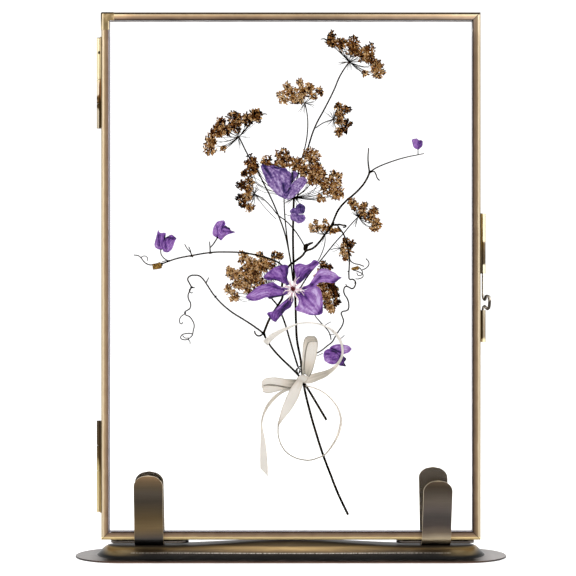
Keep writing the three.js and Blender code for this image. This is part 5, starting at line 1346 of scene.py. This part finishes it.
FLOWERS = {  # node: layer, petals from the back one to the front one
    "half_clematis_tepal_middle": ("flower", [
        ([(291, 185), (291.3, 178), (292, 172), (294.5, 171.4), (297.6, 173), (297, 176),
          (295, 179.5)], 3, 0.55,
         [(292.4, 173, 292.4, 184, 1, -0.6)])]),
    "half_clematis_tepal_left": ("flower", [
        ([(286, 199.6), (282.3, 197.9), (278.3, 195.9), (275, 193), (272.3, 189.7), (269, 186.3),
          (266.3, 181.7),
          (264.3, 176.3), (262.3, 171.7), (260.8, 166.3), (263.3, 163.9), (266.3, 166), (273, 165.7),
          (276.3, 166.7),
          (281.7, 168.3), (286.3, 168.4), (287.7, 171), (290.3, 172.3), (291.8, 175), (292.3, 181),
          (290.5, 188),
          (288.6, 195)], 10, 0.66,
         [(262.8, 165.7, 267, 170.5, 1.5, -0.55), (267, 170.5, 271.5, 178, 1.2, -0.4),
          (272, 167.4, 279, 168.4, 0.8, -0.4),
          (281, 169.6, 287, 171.4, 0.9, -0.4), (283, 184.5, 284.6, 190.5, 1.6, -0.5),
          (284.5, 192, 289, 192.6, 0.9, -0.4),
          (271, 172, 281, 186, 0.8, 0.16), (273, 187, 281, 194, 3, 0.2),
          (291.5, 176, 290.5, 184, 0.8, -0.4)])]),
    "half_clematis_tepal_right": ("flower", [
        ([(287.7, 200.3), (286.5, 196.4), (288, 190), (291.5, 184.6), (294.5, 181), (299.7, 177.7),
          (303.7, 177.3),
          (306.7, 179.7), (306.3, 183), (303, 187.7), (299.7, 191.7), (297, 194.3), (293, 197.7),
          (290.3, 199)], 7,
         0.82, [(288, 191.8, 290, 188.5, 1.6, -0.7), (300, 179, 305, 179, 2, -0.18),
                (292, 186, 299, 181, 1, -0.2),
                (293, 193, 303, 184, 1, -0.16), (289, 197, 3, 0.1)])]),
    "small_flower_centre": ("flower", [
        ([(299, 214), (296, 211.5), (295.6, 208.7), (296.2, 205.8), (299.6, 203.4), (302.5, 204.6),
          (305.1, 206.9), (304.8, 211.5), (303.1, 213.8)], 4, 0.5, [(299.5, 207, 2, -0.2),
                                                                    (302, 212, 2, -0.3)]),
        ([(300.5, 212.5), (297.9, 214.6), (292.2, 215), (289.5, 211.3), (292.2, 208.7), (295.6, 208.1),
          (299.6, 209.8)], 3, 0.62, [(293, 212, 2, -0.2)]),
        ([(297, 213), (290.6, 214.4), (291, 219.9), (294.5, 221.3), (297.9, 223.6), (302.5, 222.4),
          (305.6, 218.7), (303.7, 214.6), (299.6, 215.6)], 4, 0.72, [(298, 215, 2, -0.3),
                                                                     (300, 220, 3, -0.14)])]),
    "small_flower_left": ("low", [
        ([(161.8, 250), (156.9, 248.7), (154.4, 245), (156.3, 236.4), (158.1, 229.7), (160, 232.8),
          (165.5, 232.8), (165.5, 236.4), (164.5, 243)], 4, 0.6,
         [(165, 236, 163, 247, 1.1, -0.55), (158.5, 235, 159.2, 246, 0.9, -0.35), (156, 246, 1.8, 0.2)]),
        ([(163.6, 251.7), (162, 247), (164.7, 238.6), (167.9, 236.2), (171.6, 234.6), (176.5, 238.3),
          (174.6, 242), (172.2, 248.7), (167.9, 252.3)], 5, 0.6,
         [(166, 237, 175, 238.5, 1.4, -0.4), (165, 240, 166, 248, 1, -0.3),
          (169, 239, 169.5, 247, 0.8, -0.2),
          (170, 246, 3, 0.16)])]),
    "small_flower_upper_left": ("low", [
        ([(218.5, 238.6), (213.1, 235.2), (212.7, 230.3), (214.4, 225.4), (218, 221.2), (224.1, 220.3),
          (225.4, 224.2), (223, 229), (221, 234)], 5, 0.72,
         [(223.6, 223, 222, 229, 1.2, -0.45), (217, 226, 217.5, 236, 0.9, -0.25), (218, 237, 2, -0.3)]),
        ([(221.1, 240.6), (217.5, 237), (221.5, 231), (225, 225.4), (227.5, 227), (230.2, 227.9),
          (229.4, 229.6),
          (235.7, 232.2), (226.6, 235.2)], 7, 0.62,
         [(224.5, 226.5, 231, 229, 1.2, -0.55), (223, 231, 233, 232.2, 0.9, -0.3), (222, 235, 2, 0.1)])]),
    "small_flower_right": ("low", [
        ([(418, 149.6), (414, 147.5), (412.5, 143), (412.2, 139.4), (417, 138.4),
          (420, 142)], 4, 0.64, []),
        ([(418.5, 149.6), (417.5, 143), (420, 140), (422.7, 141),
          (422.3, 146)], 3, 0.45, [(420, 143, 2, -0.2)])]),
    "small_flower_lower_right": ("flower", [
        ([(333, 356), (329.4, 348.4), (333.9, 344.8), (339.6, 344), (344.1, 344.6), (348.6, 345.7),
          (351.6, 348.9), (348.6, 352.3), (344.1, 354), (339, 357)], 6, 0.6,
         [(331.5, 348.6, 340, 352, 1.1, -0.6), (345, 348.5, 4, 0.3), (336, 346.5, 2, 0.1)]),
        ([(335, 356), (340, 354.4), (346.2, 358.5), (344.1, 362), (346.2, 366.2), (339.6, 365.4),
          (335, 362)], 4, 0.3,
         [(345, 359, 345, 365, 1.6, -0.3)]),
        ([(339.5, 357), (336.5, 362.5), (333.9, 364.2), (329.4, 363.7), (324.6, 360.8), (323.4, 355.1),
          (324.6, 350.8),
          (329.4, 348.6), (336, 351.4)], 4, 0.58,
         [(332, 350.5, 339, 353.5, 1.2, -0.45), (325, 353, 329, 354, 1.2, -0.3), (327, 361, 3, 0.2),
          (330, 357, 336, 360, 1.4, -0.2)])]),
}
for number, (node, (layer, petals)) in enumerate(FLOWERS.items()):
    parts = []
    skin = blue_petal if "half" in node or "centre" in node else violet_petal
    for k, (ring, tip, tone, marks_and_painted_light) in enumerate(petals):
        part = ring_petal(f"{node}_{k}", ring, tip, tone, marks_and_painted_light, 20 + number * 4 + k, skin)
        for v in part.data.vertices:
            v.co.y = v.co.y * 0.5 - k * 0.15 * MM
        parts.append(part)
    flower = join(node + "_petal", *parts)
    press_into(flower, layer)
    settle(flower, "pressed_petals", node)
print("crumpled flowers:", len(FLOWERS))

# %% [markdown]
# ## The satin ribbon
# The tie is a narrow ivory satin ribbon, knotted round the stems into a bow with one loop up,
# one loop left, a tail down and a long tail that swings round on its edge. Satin floats its warp
# threads over the surface, so it shines softly along its length. Each visible stretch is drawn
# by its two edges, curved across, and laid over the one behind it.

# %% Satin and the stretches of the bow
satin, tree = start_material("ivory_satin_ribbon")
# Warp threads are 0.1 mm apart in the real ribbon and are drawn at 0.3 mm so that they show.
warp = lengthwise(tree, 22, 2, 2.0)
painted = add_node(tree, "Attribute", attribute_name="tone").outputs["Fac"]
level = add_node(tree, "Math.ADD", painted, add_node(tree, "Math.MULTIPLY_ADD", warp, 0.22, -0.11))
ivory = add_node(tree, "ValToRGB", level, ramp=[
    (0.0, "#6f6758"), (0.3, "#aba294"), (0.55, "#d9d1c3"), (0.8, "#f6eee3"), (1.0, "#fffbf5")])
weave = add_node(tree, "Bump", {"Strength": 0.4, "Distance": 0.03 * MM, "Height": warp})
cloth = add_node(tree, "BsdfPrincipled", {"Base Color": ivory, "Roughness": 0.38,
                                          "Specular IOR Level": 0.45, "Sheen Weight": 0.3,
                                          "Sheen Roughness": 0.4, "Normal": weave})
# The satin is thin enough that the white wall behind it shines through.
through = add_node(tree, "BsdfTranslucent", {"Color": ivory})
both = add_node(tree, "MixShader", {0: 0.4, 1: cloth, 2: through})
add_node(tree, "OutputMaterial", {"Surface": both})


def edges_of(route):
    """Both edges of a stretch that is drawn as its middle line: (column, row, width)."""
    middle = np.array([p[:2] for p in route], float)
    along = np.gradient(middle, axis=0)
    aside = np.stack([-along[:, 1], along[:, 0]], 1) / np.linalg.norm(along, axis=1)[:, None]
    half = np.array([[p[2] / 2] for p in route])
    return middle - aside * half, middle + aside * half


RIBBON = [  # left edge, right edge, lift in mm, darkness of the selvedge, tones from start to end with painted shade near the knot
    # the far stretch that swings over the top of the bow and comes back behind the stems
    (*edges_of([
        (265.2, 343.3, 6.2), (270, 338.3, 5.8), (275.3, 334.3, 5.0), (281, 331, 3.8), (287, 328.3, 2.7),
        (292, 326, 2.0), (296.7, 324, 1.5), (303, 322.9, 1.4), (309.5, 322.6, 1.4), (318, 323.8, 1.5),
        (325.5, 326.3, 1.7), (331, 329.5, 2.4), (335.5, 333.5, 3.2), (339, 338.5, 3.0), (341.4, 344, 2.5),
        (342.5, 350, 2.4), (341.8, 356, 2.5), (339.2, 361.5, 2.8), (335, 366.8, 3.2), (330, 370.8, 4.4),
        (324, 374, 6.4), (316, 376.8, 8), (309, 379, 8.4), (304, 380, 7)]),
     0.0, 0.1, (1.05, 1.05, 1.05, 1.02, 1.0, 1.05, 1.05, 1.0, 1.0, 0.85, 0.55, 0.62, 0.88)),
    # the up loop: the stretch that comes down on the right, then the front one that folds over it
    ([(303.6, 373), (303.2, 366), (303.8, 359), (304.8, 352), (306.2, 345), (308, 340.5), (310, 337.5)],
     [(309, 377), (312, 371.5), (314.6, 363), (316.9, 353.2), (317.8, 344), (317.2, 339.5),
      (315.5, 336.8)],
     0.1, 0.45, (0.42, 0.7, 0.92, 0.98, 0.92, 0.75)),
    ([(302, 375), (301.9, 366), (302.3, 355), (303, 345), (304.6, 338.6), (307.3, 336.2), (311, 335.9),
      (314.8, 336.1)],
     [(304.8, 374), (304.6, 366), (305.6, 355), (307, 347.5), (308.6, 343), (311, 341.6), (314.5, 341.4),
      (317.3, 341.6)],
     0.2, 0.5, (0.42, 0.72, 0.9, 0.9, 0.78, 0.62, 0.58)),
    # the shaded inside of both loops: thin stretches painted dark as shade, a dark line between their
    # stretches
    (*edges_of([(303.8, 370, 0.9), (304.6, 361, 1.0), (305.4, 353, 1.0), (306.8, 346, 1.0),
                (308.2, 342, 0.8)]),
     0.32, 0.0, (0.2, 0.25, 0.3)),
    (*edges_of([(263.6, 385.3, 0.8), (269, 384.5, 1.3), (277, 385.2, 1.2), (283, 386.6, 1.0),
                (289.5, 387.9, 0.8)]),
     0.32, 0.0, (0.25, 0.2, 0.2)),
    # the left loop: lower stretch, then upper stretch
    ([(291, 384.5), (280, 386.2), (271, 385), (265, 384.8), (262.6, 386.4)],
     [(291, 387.6), (283, 389.6), (277, 391.2), (268, 393), (262.8, 391.4)],
     0.1, 0.6, (0.42, 0.75, 0.92, 0.95, 0.85)),
    ([(297, 379.3), (286, 378.6), (275.3, 377.2), (268, 377.6), (264, 379), (262.2, 381.5), (261.6, 387)],
     [(293, 386.4), (289, 387.5), (280.7, 385.6), (270, 384.6), (266, 384.6), (264.2, 385.6),
      (263.6, 388.6)],
     0.2, 0.6, (0.28, 0.7, 0.95, 0.98, 0.95, 0.88)),
    # the left tail, which turns over once and hangs
    ([(292, 385.8), (283, 389.6), (274, 395.6), (266.6, 404.5), (263, 413), (261.1, 421), (260.9, 428),
      (260.6, 440), (260.2, 456), (260.4, 468)],
     [(293, 388.8), (284.6, 391.8), (277, 397.2), (268.8, 406.6), (264.8, 413.8), (262.6, 421.4),
      (262.7, 428),
      (265.6, 442), (267.4, 459), (268, 476)],
     0.0, 0.35, (0.5, 0.65, 0.78, 0.72, 0.7, 0.95, 1.03, 1.05, 1.05)),
    # the middle tail swings round on its edge: its narrow round, then its broad face over it
    (*edges_of([
        (278.7, 421, 2.0), (278.2, 427, 1.4), (278.1, 433, 1.2), (279.2, 439, 1.2), (281.7, 445.3, 1.2),
        (286.2, 451.6, 1.2), (292.6, 456, 1.2), (299, 458.5, 1.2), (309, 459.8, 1.3), (318, 457.4, 1.3),
        (325.5, 453.4, 1.4), (332, 445.2, 1.8), (337, 436.4, 2.2), (339.8, 427.5, 2.5),
        (340.8, 419.9, 2.3),
        (339.3, 412.2, 1.9), (335.7, 404.5, 1.6), (329.3, 396.8, 1.4), (323, 391.9, 1.3),
        (315.5, 388.2, 1.2),
        (305.8, 385.4, 1.2)]),
     0.1, 0.1, (0.6, 0.5, 0.45, 0.45, 0.48, 0.55, 0.7, 0.85, 0.88, 0.85, 0.8, 0.8)),
    ([(297.4, 378.6), (291.6, 386), (287.5, 394.2), (282.8, 405.8), (279.6, 416), (278, 424)],
     [(303.4, 381.6), (301.6, 387.6), (297.4, 399), (289.9, 410.9), (283.5, 418.6), (279.4, 424.6)],
     0.45, 0.4, (0.8, 0.98, 1.03, 1.03, 0.95, 0.65)),
    # the knot, a turn of ribbon across the stems
    ([(295.4, 382.4), (296.6, 378.4), (299, 375.8), (301.8, 374.6), (304.6, 374.8)],
     [(302.6, 383), (304.8, 382.2), (306.4, 380.8), (307.6, 379), (307.8, 377)],
     0.36, 0.4, (0.5, 0.8, 1.0, 0.92, 0.7)),
]


def ribbon_relief(lift, seed):
    """How far a stretch stands out: its lift, a bow across it and soft waves."""
    def relief(u, v, column, row):
        bow = 0.1 * (1 - (2 * u - 1) ** 2) * min(1, 4 * v, 4 * (1 - v))
        return -lift * 1.1 - bow + 0.05 * crumple(column, row, 5, seed)
    return relief


def ribbon_tone(tones, selvedge):
    """The tone along the run, a little darker with painted shade in lengthwise creases, and dark at both
    selvedges.
    """
    def tone(u, v, column, row):
        along = np.interp(v, np.linspace(0, 1, len(tones)), tones)
        crease = 0.1 * math.cos(2 * math.pi * 2.5 * u) * (1 - min(1, 3 * min(v, 1 - v)))
        return min(1, max(0, along + crease - selvedge * abs(2 * u - 1) ** 12))
    return tone


stretches = []
for seed, (left, right, lift, selvedge, tones) in enumerate(RIBBON):
    rows_along = 110 if len(left) > 12 else 36  # the long stretches curl, so they need more rows
    stretch = sheet_between(f"ribbon_{seed}", left, right, ribbon_relief(lift, seed),
                            ribbon_tone(tones, selvedge), across=10, along=rows_along)
    stretch.data.materials.append(satin)
    stretches.append(stretch)
bow = join("satin_bow", *stretches)
press_into(bow, "ribbon")
settle(bow, "satin_ribbon", "satin_ribbon")
print("ribbon stretches:", len(stretches), "faces:", len(bow.data.polygons))

# %% [markdown]
# ## The oval stand
# The stand was pressed from heavy sheet: a thin flange, a hollow cove, then a rounded shoulder
# up to a ridge that rises a little in the middle. A grid is wrapped round it, its rows laid on
# smooth lines through the levels of the section, and the seam and the ridge are then welded.

# %% Stand
STAND_STRAIGHT = 97.0  # mm from the middle to where an end starts to round
BOW_HALF, BOW_RISE = 75, 2.6  # mm, the ridge's rise in its middle
SHOULDER_HEIGHT = 5.8
LEVELS = [  # half length, half depth, height in mm, from the middle of the underside to the ridge
    (100, 0.0, 0.0), (110, 12, 0.0), (125.2, 26.2, 0.0), (125.5, 26.5, 0.15), (125.5, 26.5, 0.65),
    (125.3, 26.3, 0.8), (119.5, 23.6, 0.9), (113.5, 20.8, 1.0), (112.3, 19.8, 1.6), (111.3, 18.3, 2.7),
    (110.5, 16.8, 3.7), (109.7, 15.2, 4.6), (108.4, 12.2, 5.7), (107, 8.6, 6.5), (105.6, 5, 6.8),
    (103, 2.5, 6.8), (100, 0.0, 6.8)]
SHARP = {0, 2, 3, 4, 5, 7, 14, 16}  # levels where the section turns a corner


def section_rows(levels, sharp, steps):
    """The section's rows: straight at its corners, rounded between them."""
    rows = []
    for i in range(len(levels) - 1):
        before = levels[i - 1] if i and i not in sharp else levels[i]
        after = levels[i + 2] if i + 2 < len(levels) and i + 1 not in sharp else levels[i + 1]
        four = [np.array(p, float) for p in (before, levels[i], levels[i + 1], after)]
        rows += [curve_point(*four, t) for t in np.linspace(0, 1, steps, endpoint=False)]
    return np.array(rows + [np.array(levels[-1], float)])


def stand_point(share, half_length, half_depth, height):
    """A point of one level, share of the way round: half a long side, an end, and so on."""
    quarter, inside = divmod(share * 4, 1)
    flip_x, flip_y = ((1, -1), (1, 1), (-1, 1), (-1, -1))[int(quarter) % 4]
    if quarter % 2:
        inside = 1 - inside
    if inside < 0.5:
        x, y = STAND_STRAIGHT * inside * 2, half_depth
    else:
        turn = (inside - 0.5) * math.pi
        x = STAND_STRAIGHT + (half_length - STAND_STRAIGHT) * math.sin(turn)
        y = half_depth * math.cos(turn)
    x *= flip_x
    bow = BOW_RISE * math.cos(math.pi * x / (2 * BOW_HALF)) ** 2 if abs(x) < BOW_HALF else 0
    return x * MM, y * flip_y * MM, (height + bow * max(height - 1, 0) / SHOULDER_HEIGHT) * MM


rows = section_rows(LEVELS, SHARP, 3)
AROUND = 176
bpy.ops.mesh.primitive_grid_add(x_subdivisions=AROUND, y_subdivisions=len(rows) - 1, size=2)
stand = bpy.context.object
for v in stand.data.vertices:
    share, level = (v.co.x + 1) / 2, round((v.co.y + 1) / 2 * (len(rows) - 1))
    v.co = stand_point(round(share * AROUND) % AROUND / AROUND, *rows[level])
weld()
bpy.ops.object.shade_smooth_by_angle(angle=math.radians(28))
stand.name = "pressed_stand"
stand.data.materials.append(stand_brass)
settle(stand, "dark_brass", "stand_base")
print("stand faces:", len(stand.data.polygons))

# %% [markdown]
# ## The spring clips
# Each clip is one strip of sheet, bent into a U that grips the frame, with rounded tongues that
# flare a little at the top. A flat arm lies along the ridge of the stand. The strip is a grid
# laid along the bend, narrowed to a round at both ends, then given its thickness and a soft edge.

# %% Clips
CLIPS = {  # node: place along the stand, front top, back top, sideways lean of the front and back
    "clip_left": (-82.3, 47.8, 48.6, -0.4, -1.1), "clip_right": (84.2, 44.9, 51.2, 1.1, -0.7)}
SHEET, HALF_GAP, BEND, FLARE, REST = 1.2, 6.9, 3.7, 2.0, 7.5
HALF_WIDTH, CROWN = 8.4, 6.4
ARM_HEIGHT, ARM_THICKNESS = 8.8, 1.8
ROWS_ALONG = 120
ARM_END, ARM_STRETCH = 4.5, 18.25  # radius of the arm's rounded ends, and how far each moved out


def clip_route(front_top, back_top):
    """The side view, in mm: down the front tongue, under the frame and up the back one."""
    def side(sign, top):
        points = [(sign * (HALF_GAP - BEND + BEND * math.sin(a)), REST + BEND * (1 - math.cos(a)))
                  for a in np.linspace(0, math.pi / 2, 9)]
        rise = top - REST - BEND
        points += [(sign * (HALF_GAP + FLARE * lean), REST + BEND + rise * share)
                   for share, lean in ((0.18, 0.06), (0.35, 0.2), (0.7, 0.6), (0.88, 0.84), (1, 1))]
        return points
    floor_line = [(share * (HALF_GAP - BEND), REST) for share in (-0.6, 0, 0.6)]
    return smooth_line(side(-1, front_top)[::-1] + floor_line + side(1, back_top), ROWS_ALONG + 1)


def clip(name, x, front_top, back_top, front_lean, back_lean):
    """One spring clip: its bent strip and the arm on the stand's ridge."""
    route = clip_route(front_top, back_top)
    bpy.ops.mesh.primitive_grid_add(x_subdivisions=16, y_subdivisions=ROWS_ALONG, size=2)
    strip = bpy.context.object
    rims = [float(abs(v.co.x) > 0.99 or abs(v.co.y) > 0.99) for v in strip.data.vertices]
    paint(strip, "rim", rims)
    for v in strip.data.vertices:
        across = math.sin(v.co.x * math.pi / 2)
        row = round((v.co.y + 1) / 2 * ROWS_ALONG)
        y, z = route[row]
        top, lean = (front_top, front_lean) if y < 0 else (back_top, back_lean)
        drop = max(0.0, 1 - (top - z) / CROWN)
        half = HALF_WIDTH * math.sqrt(max(0.0, 1 - drop**2))
        shift = lean * max(0, z - REST) / (top - REST)
        v.co = ((x + across * half + shift) * MM, y * MM, z * MM)
    weld(0.00002)
    thicken(strip, SHEET * MM)
    soften(strip, 0.22, 2, sharper_than=50)
    bpy.ops.mesh.primitive_cylinder_add(vertices=64, radius=ARM_END * MM, depth=ARM_THICKNESS * MM,
                                        location=(x * MM, 0, ARM_HEIGHT * MM))
    arm = bpy.context.object
    bpy.ops.object.transform_apply(location=True)
    for v in arm.data.vertices:
        v.co.x += math.copysign(ARM_STRETCH * MM, v.co.x - x * MM)
    soften(arm, 0.25, 3)
    strip.data.materials.append(clip_brass)
    arm.data.materials.append(arm_brass)
    made = join(name + "_sprung", strip, arm)
    select_only(made)
    bpy.ops.object.shade_smooth_by_angle(angle=math.radians(40))
    return settle(made, "dark_brass", name)


for name, numbers in CLIPS.items():
    made = clip(name, *numbers)
    print(name, "faces:", len(made.data.polygons))

# %% [markdown]
# ## The bolt
# The latch is a bent brass wire. It stands in the upper tube, dips out into a finger loop, and
# drops into the lower tube to hold the leaves shut. It is the one part that moves: it slides up
# until its end leaves the lower tube.

# %% Bolt wire
BOLT = [  # x and z in mm down the wire's middle
    (112, 188.5), (112, 176), (112, 164), (112, 154), (112.1, 150.9), (112.8, 149.6), (113.6, 150.5),
    (114.1, 151.8), (115.1, 151.6), (115.8, 149.6), (115.9, 147.2), (115.6, 145.2), (115, 143.9),
    (114.3, 144), (113.6, 145.1), (112.6, 145.6), (112.05, 144.4), (112, 141.5), (112, 135.4)]
WIRE = 1.2
LOOP_BOTTOM, LOOP_TOP, LOOP_SIDE = 144.2, 152, 112.7
FLATTENED = 0.5
bolt_route = [on_paper(x, z) for x, z in BOLT]
bolt = draw_tubes("bolt_wire", [(bolt_route, WIRE, WIRE)], wire_brass, roundness=4, resolution=6)
# The loop was hammered a little flat, which spreads it in the frame's plane.
for v in bolt.data.vertices:
    x, z = v.co.x / MM, v.co.z / MM
    if LOOP_BOTTOM < z < LOOP_TOP and x > LOOP_SIDE:
        middle_x, middle_z = min(((a + (b - a) * t, c + (d - c) * t)
                                  for (a, c), (b, d) in zip(BOLT[4:], BOLT[5:-2])
                                  for t in (0, 0.25, 0.5, 0.75, 1)),
                                 key=lambda m: (m[0] - x) ** 2 + (m[1] - z) ** 2)
        v.co.x += (x - middle_x) * FLATTENED * MM
        v.co.z += (z - middle_z) * FLATTENED * MM
settle(bolt, "bright_brass", "latch_pin", body="latch_bolt")
print("bolt faces:", len(bolt.data.polygons))
